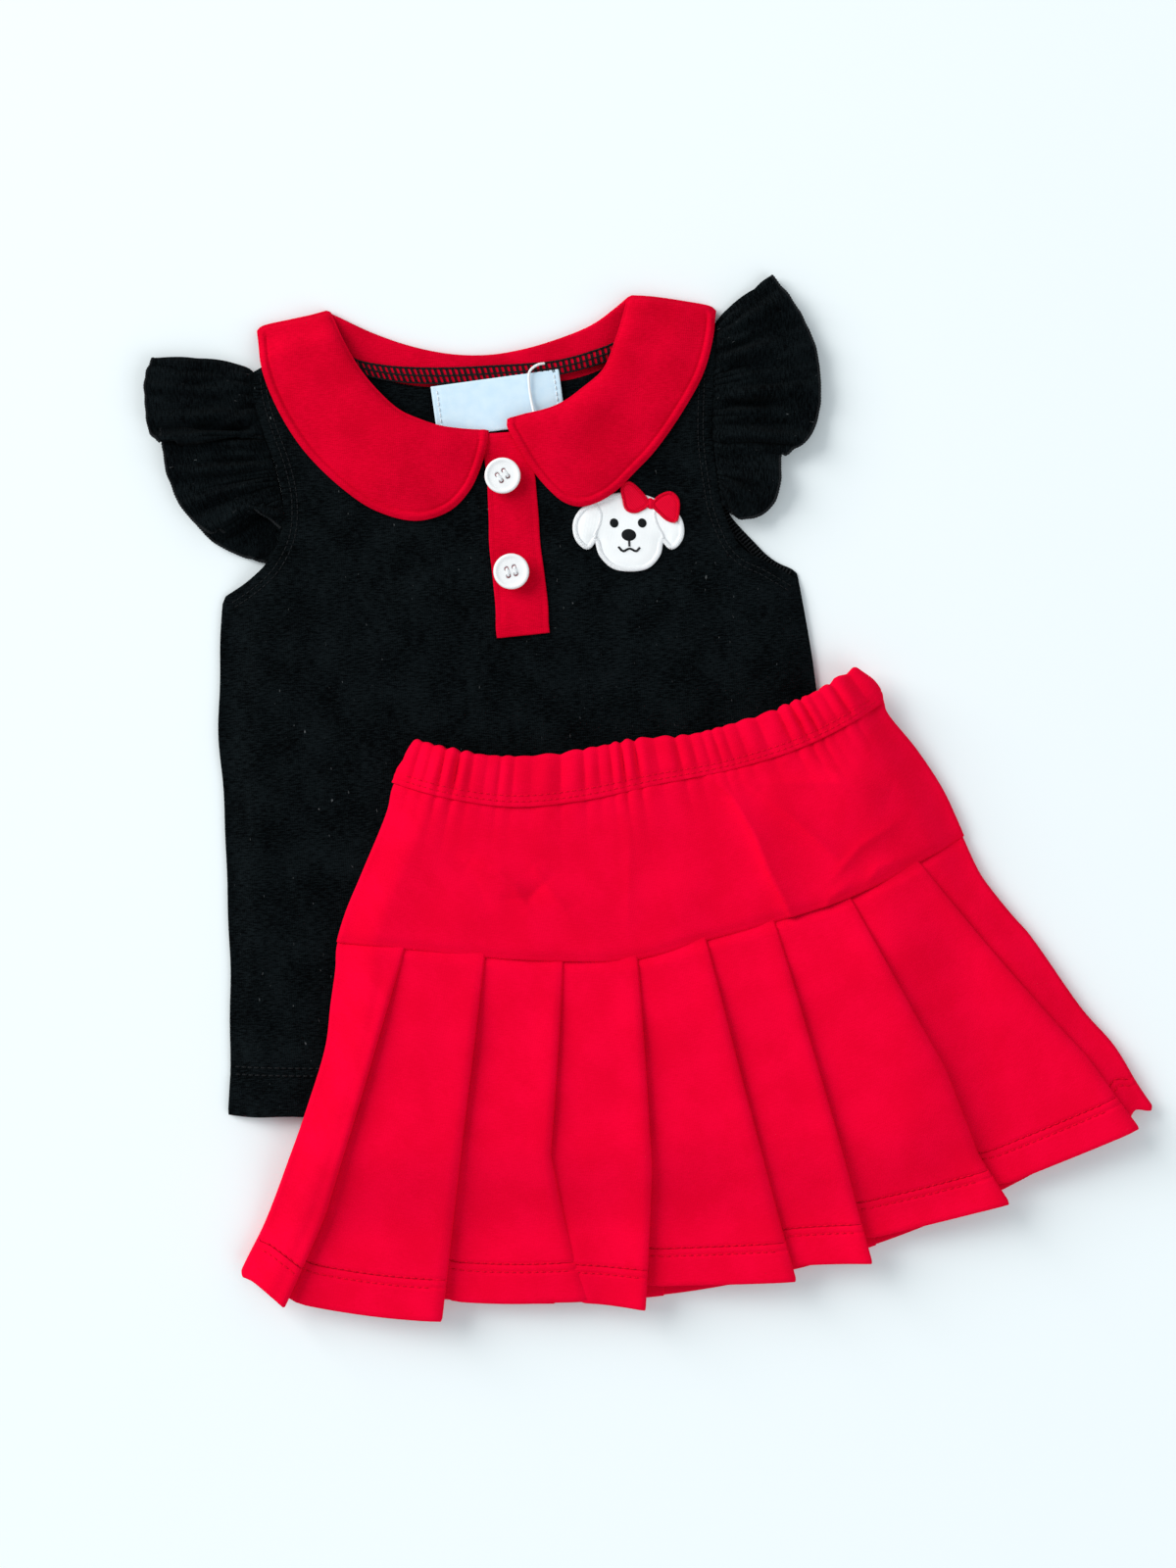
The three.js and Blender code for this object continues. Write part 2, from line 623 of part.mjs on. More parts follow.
function rufflePoint(side, [out, up]) {
  const x = side * (CHEST / 2 - ARMHOLE_INSET + out);
  return new THREE.Vector2(x, THREE.MathUtils.lerp(RUFFLE_LOW, SHOULDER_TIP.y + 3, up));
}

// The gathered cloth between an armhole and the line that its ruffle folds along.
function ruffleHead(name, side, height, low, high) {
  const fold = RUFFLES[name].fold.map((p) => rufflePoint(side, p).sub(new THREE.Vector2(side * GAP, 0)));
  const seam = armhole(28)
    .map((p) => lie(side * p.x, p.y).add(new THREE.Vector2(side * GAP, 0)))
    .filter((p) => p.y > fold[1].y && p.y < fold[0].y);
  return sheetOver(height, low, high).intersect(prism([...seam, ...fold]));
}

function ruffle(name, side, base, swing) {
  const { fold, edge } = RUFFLES[name];
  const [start, end] = fold.map((p) => rufflePoint(side, p));
  const free = new THREE.SplineCurve(edge.map((p) => rufflePoint(side, p)));
  const columns = 26;
  const rows = 3;
  const margin = 0.03; // keeps the ends of the ruffle a little way off the fold's ends
  const at = (i, j) => {
    const u = THREE.MathUtils.lerp(margin, 1 - margin, i / columns);
    const root = start.clone().lerp(end, u);
    return root.lerp(free.getPoint(u), j / rows).toArray();
  };
  const height = (offset) => (i, j) => {
    const wave = swing * (j / rows) * Math.sin((i / columns) * RUFFLE_WAVES * 2 * Math.PI);
    return base + offset + swing + wave;
  };
  return gridSlab(columns, rows, at, height(0), height(RUFFLE_THICKNESS));
}

const HEAD_BACK_Z = 0.3;
const RUFFLE_BACK_Z = 0.1;
const RUFFLE_FRONT_Z = FRONT_TOP - RUFFLE_THICKNESS + 0.25;

// ----------------------------------------------------------------- the skirt

const onFan = (angle, r) => [r * Math.sin(angle), -r * Math.cos(angle)];

// How high the skirt lies at one of its points: on the top, or down on the floor beside it.
function drape(x, y) {
  const p = new THREE.Vector2(x, y)
    .rotateAround(new THREE.Vector2(), SKIRT_TURN)
    .add(SKIRT_AT)
    .sub(TOP_AT)
    .rotateAround(new THREE.Vector2(), -TOP_TURN);
  const cutY = p.y - SLANT * p.x;
  const beside = Math.abs(p.x) - sideHalf(cutY);
  const below = -BODY_LENGTH - HEM_SAG - cutY;
  const outside = Math.hypot(Math.max(0, beside), Math.max(0, below));
  return (FRONT_TOP + GAP) * (1 - rise(outside - DRAPE_REACH, DRAPE_SLOPE));
}

// The air between the skirt's front and back, which close up towards its sides.
const loftAt = (angle, r) => SKIRT_LOFT * rise((FAN_HALF - Math.abs(angle)) * r, SKIRT_SLOPE);

// A slab between two radii and two angles; offset(angle, r) is added to where the skirt lies.
function fanSlab(half, r0, r1, columns, rows, low, high) {
  const angle = (i) => half * Math.sin((i / columns - 0.5) * Math.PI);
  const radius = (j) => THREE.MathUtils.lerp(r0, r1, j / rows);
  const at = (i, j) => onFan(angle(i), radius(j));
  const level = (offset) => (i, j) => drape(...at(i, j)) + offset(angle(i), radius(j));
  return gridSlab(columns, rows, at, level(low), level(high));
}

const BAND_BOTTOM = BAND_TOP + BAND_HEIGHT;
const YOKE_BOTTOM = BAND_BOTTOM + YOKE_DEPTH;
const HEM_RADIUS = YOKE_BOTTOM + PLEAT_DEPTH;
const CASING_HALF = FAN_HALF - 2 / BAND_TOP;
const PLEAT_HEIGHT = PLEAT_RISE + PLEAT_PLY;
// The front's lowest face, where the front and the back meet at the sides.
const FRONT_FLOOR = Math.max(PLEAT_HEIGHT, CASING_THICKNESS) + GAP;
const CASING_STEPS = 26;
const BACK_STRIP = (CASING_THICKNESS - ELASTIC_THICKNESS) / 2;
const YOKE_RISE = 1.2; // height of the yoke's lower face over the band's and the pleats'

const plus = (base, loft) => (angle, r) => base + (loft ? loftAt(angle, r) : 0);

// One casing, a flat tube that the elastic runs through.
function casing(base, loft) {
  const skin = CASING_WALL;
  const tube = (half, inset) => toSolid(fanSlab(
    half,
    BAND_TOP + inset,
    BAND_BOTTOM - inset,
    CASING_STEPS,
    1,
    plus(base + inset, loft),
    plus(base + CASING_THICKNESS - inset, loft),
  ));
  return tube(CASING_HALF, 0).subtract(tube(CASING_HALF * 1.02, skin));
}

// The elastic is one loop, through both casings and round the two ends.
function elastic() {
  const inset = CASING_WALL + GAP;
  const end = CASING_HALF + 0.6 / BAND_TOP;
  const from = BAND_TOP + inset;
  const to = BAND_BOTTOM - inset;
  const back = BACK_STRIP;
  const front = FRONT_FLOOR + BACK_STRIP;
  const outer = fanSlab(end + ELASTIC_THICKNESS / BAND_TOP, from, to, CASING_STEPS, 1,
    plus(back, false), plus(front + ELASTIC_THICKNESS, true));
  const inner = fanSlab(end, from - 5, to + 5, CASING_STEPS, 1,
    plus(back + ELASTIC_THICKNESS, false), plus(front, true));
  return toSolid(outer).subtract(toSolid(inner));
}

function yoke(base, loft) {
  const from = BAND_BOTTOM + GAP;
  const to = YOKE_BOTTOM - GAP;
  return fanSlab(FAN_HALF, from, to, 20, 4, plus(base, loft), plus(base + PLY, loft));
}

// The pleated cloth's middle line at one radius, as [arc, height] pairs from left to right.
function pleatLine(r) {
  const down = (r - YOKE_BOTTOM) / PLEAT_DEPTH;
  const pitch = PLEAT_PITCH * r * THREE.MathUtils.lerp(1, PLEAT_SPREAD, down);
  const tuck = THREE.MathUtils.lerp(UNDERLAP_SEAM, UNDERLAP_HEM, down);
  const edge = FAN_HALF * r;
  const line = [];
  const stretch = (from, to, pieces) => {
    for (let k = 0; k <= pieces; k += 1) {
      const t = k / pieces;
      line.push([THREE.MathUtils.lerp(from[0], to[0], t), THREE.MathUtils.lerp(from[1], to[1], t)]);
    }
  };
  let start = [-edge, PLEAT_RISE * 0.55];
  for (let k = 0; k < PLEAT_COUNT; k += 1) {
    const fold = (k - (PLEAT_COUNT - 1) / 2) * pitch;
    stretch(start, [fold, PLEAT_RISE], 3);
    stretch([fold, PLEAT_RISE * 0.66], [fold - tuck, PLEAT_RISE * 0.375], 1);
    start = [fold - tuck, 0];
  }
  stretch(start, [edge, PLEAT_RISE * 0.4], 3);
  return line;
}

// The outline of a ribbon of one ply about a line, with mitred corners.
function ribbon(line, ply) {
  const normalOf = (a, b) => {
    const length = Math.hypot(b[0] - a[0], b[1] - a[1]);
    return [-(b[1] - a[1]) / length, (b[0] - a[0]) / length];
  };
  const sides = [[], []];
  line.forEach((p, k) => {
    const before = normalOf(line[Math.max(0, k - 1)], line[Math.max(1, k)]);
    const after = normalOf(line[Math.min(k, line.length - 2)], line[Math.min(k + 1, line.length - 1)]);
    const sum = [before[0] + after[0], before[1] + after[1]];
    const scale = ply / (sum[0] ** 2 + sum[1] ** 2);
    sides[0].push([p[0] + sum[0] * scale, p[1] + sum[1] * scale]);
    sides[1].push([p[0] - sum[0] * scale, p[1] - sum[1] * scale]);
  });
  return [...sides[1], ...sides[0].reverse()];
}

// The pleated cloth: the ribbon's outline at each radius, joined from row to row.
function pleats(base, loft) {
  const rows = 9;
  const points = [];
  const faces = [];
  const from = YOKE_BOTTOM + GAP;
  let count = 0;
  for (let j = 0; j <= rows; j += 1) {
    const row = THREE.MathUtils.lerp(from, HEM_RADIUS, j / rows);
    const outline = ribbon(pleatLine(row), PLEAT_PLY);
    count = outline.length;
    for (const [arc, height] of outline) {
      const angle = arc / row;
      const r = row - HEM_LEAN * angle * (j / rows);
      const [x, y] = onFan(angle, r);
      const air = loft ? loftAt(angle, r) : 0;
      points.push(x, y, drape(x, y) + base + air + PLEAT_MITRE + PLEAT_PLY / 2 + height);
    }
  }
  for (let j = 0; j < rows; j += 1) {
    for (let i = 0; i < count; i += 1) {
      const a = j * count + i;
      const b = j * count + ((i + 1) % count);
      faces.push(a, b, b + count, a, b + count, a + count);
    }
  }
  for (let i = 0; i < count / 2 - 1; i += 1) {
    const across = count - 1 - i;
    faces.push(i, across, i + 1, i + 1, across, across - 1);
    const last = rows * count;
    faces.push(last + i, last + i + 1, last + across, last + i + 1, last + across - 1, last + across);
  }
  return facesOut(points, faces);
}

// ------------------------------------------------------------------ assembly

const top = new THREE.Group();
top.position.set(TOP_AT.x, TOP_AT.y, 0);
top.rotation.z = TOP_TURN;

top.add(mesh('back_panel', toGeometry(backPanel()), BLACK));
top.add(mesh('front_panel', toGeometry(frontPanel()), BLACK));
top.add(mesh('placket', toGeometry(placket()), RED));
top.add(mesh('collar_stand', toGeometry(collarStand()), RED));
top.add(mesh('collar_back', toGeometry(collarBack()), RED));
top.add(mesh('neck_seam_tape', toGeometry(neckSeamTape()), BLACK));
top.add(neckLabel());
top.add(mesh('tag_string', tagString(), WHITE));
top.add(...motif());

for (const [name, side] of [['left', -1], ['right', 1]]) {
  top.add(mesh(`armhole_band_${name}`, toGeometry(armholeBand(side)), BLACK));
  const base = collarPart(side, 1, COLLAR_UNDER[0], COLLAR_UPPER[1]);
  const under = collarPart(side, -1, ...COLLAR_UNDER);
  const upper = collarPart(side, -1, ...COLLAR_UPPER);
  top.add(mesh(`collar_${name}_base`, toGeometry(base), RED));
  top.add(mesh(`collar_${name}_under`, toGeometry(under), RED));
  top.add(mesh(`collar_${name}_upper`, toGeometry(upper), RED));
  const headFront = ruffleHead(name, side, frontHeight, -PLY, 0);
  const headBack = ruffleHead(name, side, () => 0, HEAD_BACK_Z, HEAD_BACK_Z + PLY);
  top.add(mesh(`sleeve_${name}_head_front`, toGeometry(headFront), BLACK));
  top.add(mesh(`sleeve_${name}_head_back`, toGeometry(headBack), BLACK));
  top.add(mesh(`sleeve_${name}_front`, ruffle(name, side, RUFFLE_FRONT_Z, RUFFLE_FRONT_WAVE), BLACK));
  top.add(mesh(`sleeve_${name}_back`, ruffle(name, side, RUFFLE_BACK_Z, RUFFLE_BACK_WAVE), BLACK));
}

top.add(buttonPair('button_upper', BUTTON_UPPER));
top.add(buttonPair('button_lower', BUTTON_LOWER));

const skirt = new THREE.Group();
skirt.position.set(SKIRT_AT.x, SKIRT_AT.y, 0);
skirt.rotation.z = SKIRT_TURN;

skirt.add(mesh('waistband_back', toGeometry(casing(0, false)), SKIRT_RED));
skirt.add(mesh('waistband_front', toGeometry(casing(FRONT_FLOOR, true)), SKIRT_RED));
skirt.add(mesh('waist_elastic', toGeometry(elastic()), WHITE));
skirt.add(mesh('yoke_back', yoke(YOKE_RISE, false), SKIRT_RED));
skirt.add(mesh('yoke_front', yoke(FRONT_FLOOR + YOKE_RISE, true), SKIRT_RED));
skirt.add(mesh('pleats_back', pleats(0, false), SKIRT_RED));
skirt.add(mesh('pleats_front', pleats(FRONT_FLOOR, true), SKIRT_RED));

// The origin is the middle of the lowest level of the box around both garments.
const uniform = new THREE.Group();
uniform.add(top, skirt);
uniform.updateMatrixWorld(true);
const box = new THREE.Box3().setFromObject(uniform, true);
const middle = box.getCenter(new THREE.Vector3());
uniform.position.set(-middle.x, -middle.y, -box.min.z);

export default uniform;
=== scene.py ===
import json
import math

import bpy
import numpy as np
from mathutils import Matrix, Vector
from mathutils.geometry import delaunay_2d_cdt


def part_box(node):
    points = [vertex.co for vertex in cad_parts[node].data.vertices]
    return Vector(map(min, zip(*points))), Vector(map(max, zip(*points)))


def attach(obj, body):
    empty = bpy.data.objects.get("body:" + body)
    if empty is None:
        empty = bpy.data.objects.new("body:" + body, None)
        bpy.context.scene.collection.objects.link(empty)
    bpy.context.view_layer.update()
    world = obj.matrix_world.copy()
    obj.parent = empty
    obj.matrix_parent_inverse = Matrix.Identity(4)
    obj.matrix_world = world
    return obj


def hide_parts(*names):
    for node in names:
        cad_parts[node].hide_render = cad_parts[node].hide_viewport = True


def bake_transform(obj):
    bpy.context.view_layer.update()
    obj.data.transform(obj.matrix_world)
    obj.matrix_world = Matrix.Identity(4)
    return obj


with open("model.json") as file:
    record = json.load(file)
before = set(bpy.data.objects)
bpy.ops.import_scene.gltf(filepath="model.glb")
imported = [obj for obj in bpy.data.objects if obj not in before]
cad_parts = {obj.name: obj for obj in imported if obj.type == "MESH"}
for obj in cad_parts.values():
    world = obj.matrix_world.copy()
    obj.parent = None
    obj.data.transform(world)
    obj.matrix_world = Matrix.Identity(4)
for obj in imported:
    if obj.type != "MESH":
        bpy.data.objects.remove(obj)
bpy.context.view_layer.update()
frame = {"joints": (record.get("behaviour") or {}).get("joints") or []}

# Shapes are made in millimetres, in the two garments' own coordinates, and placed in metres.
# "Lain" coordinates are the top's as it lies, "cut" ones are its pattern's before it slid.

# ------------------------------------------------------------------ dimensions

MM = 0.001
PLY = 0.8
GAP = 0.35
TOP_TURN = math.radians(4.5)
SKIRT_TURN = math.radians(9)
SLANT = -0.042
NECK_SHIFT = -4.0
CHEST = 240.0
HEM_WIDTH = 272.0
BODY_LENGTH = 218.0
HEM_SAG = 4.0
NECK_Y = 118.0
NECK_HALF = 61.0
TOP_LOFT = 5.5
TIP = (99.0, 106.0)  # shoulder tip as cut
COLLAR_BACK = (94.0, 72.0)  # half width and drop of the back collar's outer edge
FRONT_TOP = PLY + GAP + TOP_LOFT + PLY
FRONT_FLOOR = 3.85
SKIRT_LOFT = 4.7
FAN_HALF = math.radians(26.6)


def box_centre(node):
    low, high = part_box(node)
    return (np.array(low) + np.array(high)) / 2 / MM


def turned(x, y, angle):
    c, s = math.cos(angle), math.sin(angle)
    return x * c - y * s, x * s + y * c


BUTTON_IN_TOP = (0.39, 4.98)  # the lower button's middle, in the top's coordinates
TOP_AT = box_centre("button_lower")[:2] - turned(*BUTTON_IN_TOP, TOP_TURN)
SKIRT_AT = TOP_AT + (19.6, 131.9)


def in_top(points):
    p = np.array(points, float).reshape(-1, 3)
    x, y = turned(p[:, 0], p[:, 1], TOP_TURN)
    return np.stack([x + TOP_AT[0], y + TOP_AT[1], p[:, 2]], 1) * MM


def in_skirt(points):
    p = np.array(points, float).reshape(-1, 3)
    x, y = turned(p[:, 0], p[:, 1], SKIRT_TURN)
    return np.stack([x + SKIRT_AT[0], y + SKIRT_AT[1], p[:, 2]], 1) * MM


# ------------------------------------------------------------ plain mathematics

def ease(d, width=1.0):
    t = np.clip(np.asarray(d, float) / width, 0, 1)
    return t * t * (3 - 2 * t)


def bell(d, width):
    return np.exp(-((np.asarray(d, float) / width) ** 2))


def ripple(x, y, scale, seed, waves=14):
    """A smooth random surface of about unit height, with bumps about scale apart."""
    rng = np.random.default_rng(seed)
    total = 0.0
    for _ in range(waves):
        angle, length = rng.uniform(0, math.pi), rng.uniform(0.7, 1.7)
        phase = rng.uniform(0, 2 * math.pi)
        along = (x * math.cos(angle) + y * math.sin(angle)) / (scale * length)
        total = total + np.sin(along * 2 * math.pi + phase)
    return total / math.sqrt(waves / 2)


def curve(points, count, closed=False):
    """A smooth curve through the points, as count + 1 points evenly spaced (count when closed)."""
    p = np.array(points, float)
    if closed:
        p = np.vstack([p[-2:], p, p[:2]])
    knots = np.concatenate([[0], np.cumsum(np.sqrt(np.linalg.norm(np.diff(p, axis=0), axis=1)))])
    slope = np.gradient(p, knots, axis=0)
    dense = []
    first, last = (2, len(p) - 2) if closed else (0, len(p) - 1)
    for k in range(first, last):
        h = knots[k + 1] - knots[k]
        t = np.linspace(0, 1, 40, endpoint=False)[:, None]
        dense.append(
            (2 * t**3 - 3 * t**2 + 1) * p[k] + (t**3 - 2 * t**2 + t) * h * slope[k]
            + (-2 * t**3 + 3 * t**2) * p[k + 1] + (t**3 - t**2) * h * slope[k + 1]
        )
    dense = np.vstack([*dense, p[last][None]])
    return spaced(dense, count)[: count if closed else None]


def spaced(line, count):
    """The line again, as count + 1 points evenly spaced."""
    line = np.asarray(line, float)
    gone = reached(line)
    return on_line(line, gone, np.linspace(0, gone[-1], count + 1))


def reached(line):
    """The length of the line up to each of its points."""
    return np.concatenate([[0], np.cumsum(np.linalg.norm(np.diff(line, axis=0), axis=1))])


def on_line(line, gone, at):
    """The points of a line where its length, or its index, is at."""
    return np.stack([np.interp(at, gone, column) for column in line.T], -1)


def length_of(line):
    return float(np.linalg.norm(np.diff(np.asarray(line, float), axis=0), axis=1).sum())


def unit(vectors):
    return vectors / np.maximum(np.linalg.norm(vectors, axis=-1, keepdims=True), 1e-9)


def sideways(way):
    """Each 2-D direction turned a quarter turn to the left, and made one long."""
    way = unit(way)
    return np.stack([-way[:, 1], way[:, 0]], 1)


def distance(points, line):
    """How far each 2-D point is from an open line of 2-D points."""
    line = np.asarray(line, float)
    a, d = line[:-1], np.diff(line, axis=0)
    size = np.maximum((d * d).sum(1), 1e-12)
    out = np.empty(len(points))
    for k in range(0, len(points), 2000):
        q = points[k : k + 2000, None] - a[None]
        t = np.clip((q * d).sum(2) / size, 0, 1)
        out[k : k + 2000] = np.sqrt((((q - t[..., None] * d) ** 2).sum(2)).min(1))
    return out


def inside(points, outline):
    x, y = points[:, 0], points[:, 1]
    result = np.zeros(len(points), bool)
    for (x0, y0), (x1, y1) in zip(outline, np.roll(outline, -1, 0)):
        if y0 != y1:
            result ^= ((y0 > y) != (y1 > y)) & (x < (x1 - x0) * (y - y0) / (y1 - y0) + x0)
    return result


def creases(x, y, lines):
    """Soft ridges along lines of (points, height, width on the left, width on the right)."""
    total = np.zeros_like(x)
    for points, height, left, right in lines:
        line = np.array(points, float)
        a, d = line[:-1], np.diff(line, axis=0)
        size = (d * d).sum(1)
        reach = np.concatenate([[0], np.cumsum(np.sqrt(size))])
        best = np.full(x.shape, 1e9)
        side = np.zeros_like(x)
        along = np.zeros_like(x)
        for k in range(len(a)):
            qx, qy = x - a[k, 0], y - a[k, 1]
            t = np.clip((qx * d[k, 0] + qy * d[k, 1]) / size[k], 0, 1)
            gap = np.hypot(qx - t * d[k, 0], qy - t * d[k, 1])
            near = gap < best
            best = np.where(near, gap, best)
            side = np.where(near, d[k, 0] * qy - d[k, 1] * qx, side)
            along = np.where(near, (reach[k] + t * math.sqrt(size[k])) / reach[-1], along)
        width = np.where(side > 0, left, right)
        total += height * np.exp(-best / width) * np.sin(np.pi * np.clip(along, 0.04, 0.96)) ** 0.6
    return total


# ---------------------------------------------------------------- mesh building

def finish_piece(name, points, faces, place, material, grain=None):
    """A mesh object from points in a garment's millimetres."""
    mesh = bpy.data.meshes.new(name)
    mesh.from_pydata(place(points).tolist(), [], faces if isinstance(faces, list) else faces.tolist())
    mesh.update()
    mesh.polygons.foreach_set("use_smooth", np.ones(len(mesh.polygons), bool))
    if grain is None:
        grain = np.asarray(points, float)[:, :2]
    store = mesh.attributes.new("grain", "FLOAT_VECTOR", "POINT")
    flat = np.zeros((len(points), 3), np.float32)
    flat[:, :2] = np.asarray(grain, float)[:, :2] * MM
    store.data.foreach_set("vector", flat.ravel())
    mesh.materials.append(material)
    made = bpy.data.objects.new(name, mesh)
    bpy.context.scene.collection.objects.link(made)
    return made


def filled(outline, spacing, rings=()):
    """An outline filled with triangles: points in rings inside it, and then an even field."""
    outline = np.asarray(outline, float)
    nxt, prv = np.roll(outline, -1, 0), np.roll(outline, 1, 0)
    if (outline[:, 0] * nxt[:, 1] - nxt[:, 0] * outline[:, 1]).sum() < 0:
        outline = outline[::-1]
        nxt, prv = np.roll(outline, -1, 0), np.roll(outline, 1, 0)
    inward = sideways(nxt - prv)
    closed = np.vstack([outline, outline[:1]])
    made = [outline]
    for depth in rings:
        ring = outline + inward * depth
        made.append(ring[distance(ring, closed) > depth * 0.96])
    low, high = outline.min(0), outline.max(0)
    across = np.arange(low[0], high[0], spacing)
    field = np.vstack([
        np.stack([across + (k % 2) * spacing / 2, np.full(len(across), y)], 1)
        for k, y in enumerate(np.arange(low[1], high[1], spacing * 0.87))
    ])
    field = field[inside(field, outline)]
    field = field[distance(field, closed) > (rings[-1] if len(rings) else 0) + spacing * 0.6]
    made.append(field)
    points = np.vstack(made)
    rim = [list(range(len(outline)))]
    found = delaunay_2d_cdt([tuple(map(float, p)) for p in points], [], rim, 1, 1e-5)
    verts = np.array([tuple(v) for v in found[0]])
    return verts, np.array([f for f in found[2] if len(f) == 3], int)


def slab(xy, triangles, top, bottom, bulge=0.3, steps=3):
    """A closed sheet between two heights over the same triangles, with a rounded rim."""
    xy = np.asarray(xy, float)
    n = len(xy)
    a, b, c = (xy[triangles[:, k]] for k in range(3))
    cross = (b[:, 0] - a[:, 0]) * (c[:, 1] - a[:, 1]) - (b[:, 1] - a[:, 1]) * (c[:, 0] - a[:, 0])
    triangles = np.where(cross[:, None] < 0, triangles[:, ::-1], triangles)
    edges = np.vstack([triangles[:, [0, 1]], triangles[:, [1, 2]], triangles[:, [2, 0]]])
    known = set(map(tuple, edges.tolist()))
    rim = [(i, j) for i, j in known if (j, i) not in known]
    onward = dict(rim)
    loops = []
    while onward:
        start, nxt = onward.popitem()
        loop = [start]
        while nxt != start:
            loop.append(nxt)
            nxt = onward.pop(nxt)
        loops.append(loop)
    points = [np.column_stack([xy, top]), np.column_stack([xy, bottom])]
    faces = triangles.tolist() + (triangles[:, ::-1] + n).tolist()
    base = 2 * n
    bulge = np.broadcast_to(np.asarray(bulge, float), (n,))
    for loop in loops:
        k = np.array(loop)
        p = xy[k]
        out = -sideways(np.roll(p, -1, 0) - np.roll(p, 1, 0))
        rows = [k]
        middle, half = (top[k] + bottom[k]) / 2, (top[k] - bottom[k]) / 2
        for s in range(1, steps):
            angle = math.pi * s / steps
            q = p + out * (bulge[k] * math.sin(angle))[:, None]
            points.append(np.column_stack([q, middle + half * math.cos(angle)]))
            rows.append(np.arange(base, base + len(k)))
            base += len(k)
        rows.append(k + n)
        for upper, lower in zip(rows, rows[1:]):
            u2, l2 = np.roll(upper, -1), np.roll(lower, -1)
            faces += np.stack([upper, lower, l2, u2], 1).tolist()
    return np.vstack(points), faces


def normals(grid, closed=False):
    if closed:
        du = np.roll(grid, -1, 0) - np.roll(grid, 1, 0)
    else:
        du = np.gradient(grid, axis=0)
    return unit(np.cross(du, np.gradient(grid, axis=1)))


RIM_OUT = 0.42  # how far a sheet's rounded rim stands out, in plies


def thick(grid, ply, closed=False):
    """A closed sheet about a grid of points [across, along], whose first index may be a loop."""
    g = np.asarray(grid, float)
    nu, nv = g.shape[:2]
    normal = normals(g, closed)

    def index(side, i, j):
        return side * nu * nv + (i % nu) * nv + j

    last = nu if closed else nu - 1
    i, j = np.meshgrid(np.arange(last), np.arange(nv - 1), indexing="ij")
    i, j = i.ravel(), j.ravel()
    round_front = [index(0, i, j), index(0, i + 1, j), index(0, i + 1, j + 1), index(0, i, j + 1)]
    round_back = [index(1, i, j), index(1, i, j + 1), index(1, i + 1, j + 1), index(1, i + 1, j)]
    faces = np.stack(round_front, 1).tolist() + np.stack(round_back, 1).tolist()
    points = [(g + normal * ply / 2).reshape(-1, 3), (g - normal * ply / 2).reshape(-1, 3)]
    base = 2 * nu * nv

    def rim(ids, edge, out, loop):
        """Closes one edge with a rounded strip. ids are (i, j) along it."""
        nonlocal base
        points.append(edge + unit(out) * ply * RIM_OUT)
        middle = np.arange(base, base + len(edge))
        base += len(edge)
        for first, second in ((index(0, *ids), middle), (middle, index(1, *ids))):
            a, b = (first, np.roll(first, -1)) if loop else (first[:-1], first[1:])
            c, d = (second, np.roll(second, -1)) if loop else (second[:-1], second[1:])
            faces.extend(np.stack([a, c, d, b], 1).tolist())
        return middle

    k = np.arange(nu)
    low = rim((k, 0 * k), g[:, 0], g[:, 0] - g[:, 1], closed)
    high = rim((k[::-1], 0 * k + nv - 1), g[::-1, -1], (g[:, -1] - g[:, -2])[::-1], closed)
    if not closed:
        m = np.arange(nv)
        left = rim((0 * m, m[::-1]), g[0, ::-1], (g[0] - g[1])[::-1], False)
        right = rim((0 * m + nu - 1, m), g[-1], g[-1] - g[-2], False)
        corners = [
            (index(0, 0, 0), left[-1], index(1, 0, 0), low[0]),
            (index(0, nu - 1, 0), low[-1], index(1, nu - 1, 0), right[0]),
            (index(0, nu - 1, nv - 1), right[-1], index(1, nu - 1, nv - 1), high[0]),
            (index(0, 0, nv - 1), high[-1], index(1, 0, nv - 1), left[0]),
        ]
        faces += [[int(v) for v in f] for f in corners]
    return np.vstack(points), faces


def tube(line, radius, sides=8):
    """A round closed tube along a line; radius may differ from point to point."""
    line = np.asarray(line, float)
    radius = np.broadcast_to(np.asarray(radius, float), (len(line),))
    way = unit(np.gradient(line, axis=0))
    up = np.tile([0.0, 0.0, 1.0], (len(line), 1))
    up[np.abs(way[:, 2]) > 0.9] = [0.0, 1.0, 0.0]
    side = unit(np.cross(way, up))
    up = np.cross(side, way)
    angle = np.arange(sides) * 2 * math.pi / sides
    ring = side[:, None] * np.cos(angle)[None, :, None] + up[:, None] * np.sin(angle)[None, :, None]
    points = line[:, None] + ring * radius[:, None, None]
    n = len(line)
    i, j = np.meshgrid(np.arange(n - 1), np.arange(sides), indexing="ij")
    i, j = i.ravel(), j.ravel()
    nxt = (j + 1) % sides
    faces = np.stack([i * sides + j, i * sides + nxt, (i + 1) * sides + nxt, (i + 1) * sides + j], 1).tolist()
    faces.append([int(v) for v in np.arange(sides)[::-1]])
    faces.append([int(v) for v in np.arange((n - 1) * sides, n * sides)])
    return points.reshape(-1, 3), faces


def joined(parts):
    points, faces, base = [], [], 0
    for p, f in parts:
        points.append(np.asarray(p))
        faces += [[v + base for v in face] for face in f]
        base += len(p)
    return np.vstack(points), faces


def stitches(line, length, pitch, radius, dip=0.35, sides=6):
    """Short threads in a row along a line, each one going down into the cloth at its ends."""
    line = np.asarray(line, float)
    gone = reached(line)
    parts = []
    for start in np.arange(pitch * 0.3, length_of(line) - length, pitch):
        p = on_line(line, gone, start + length * np.array([0, 0.12, 0.5, 0.88, 1]))
        p[:, 2] += np.array([-dip, 0.25 * radius, 0.6 * radius, 0.25 * radius, -dip])
        parts.append(tube(p, radius * np.array([0.5, 0.95, 1, 0.95, 0.5]), sides))
    return joined(parts)


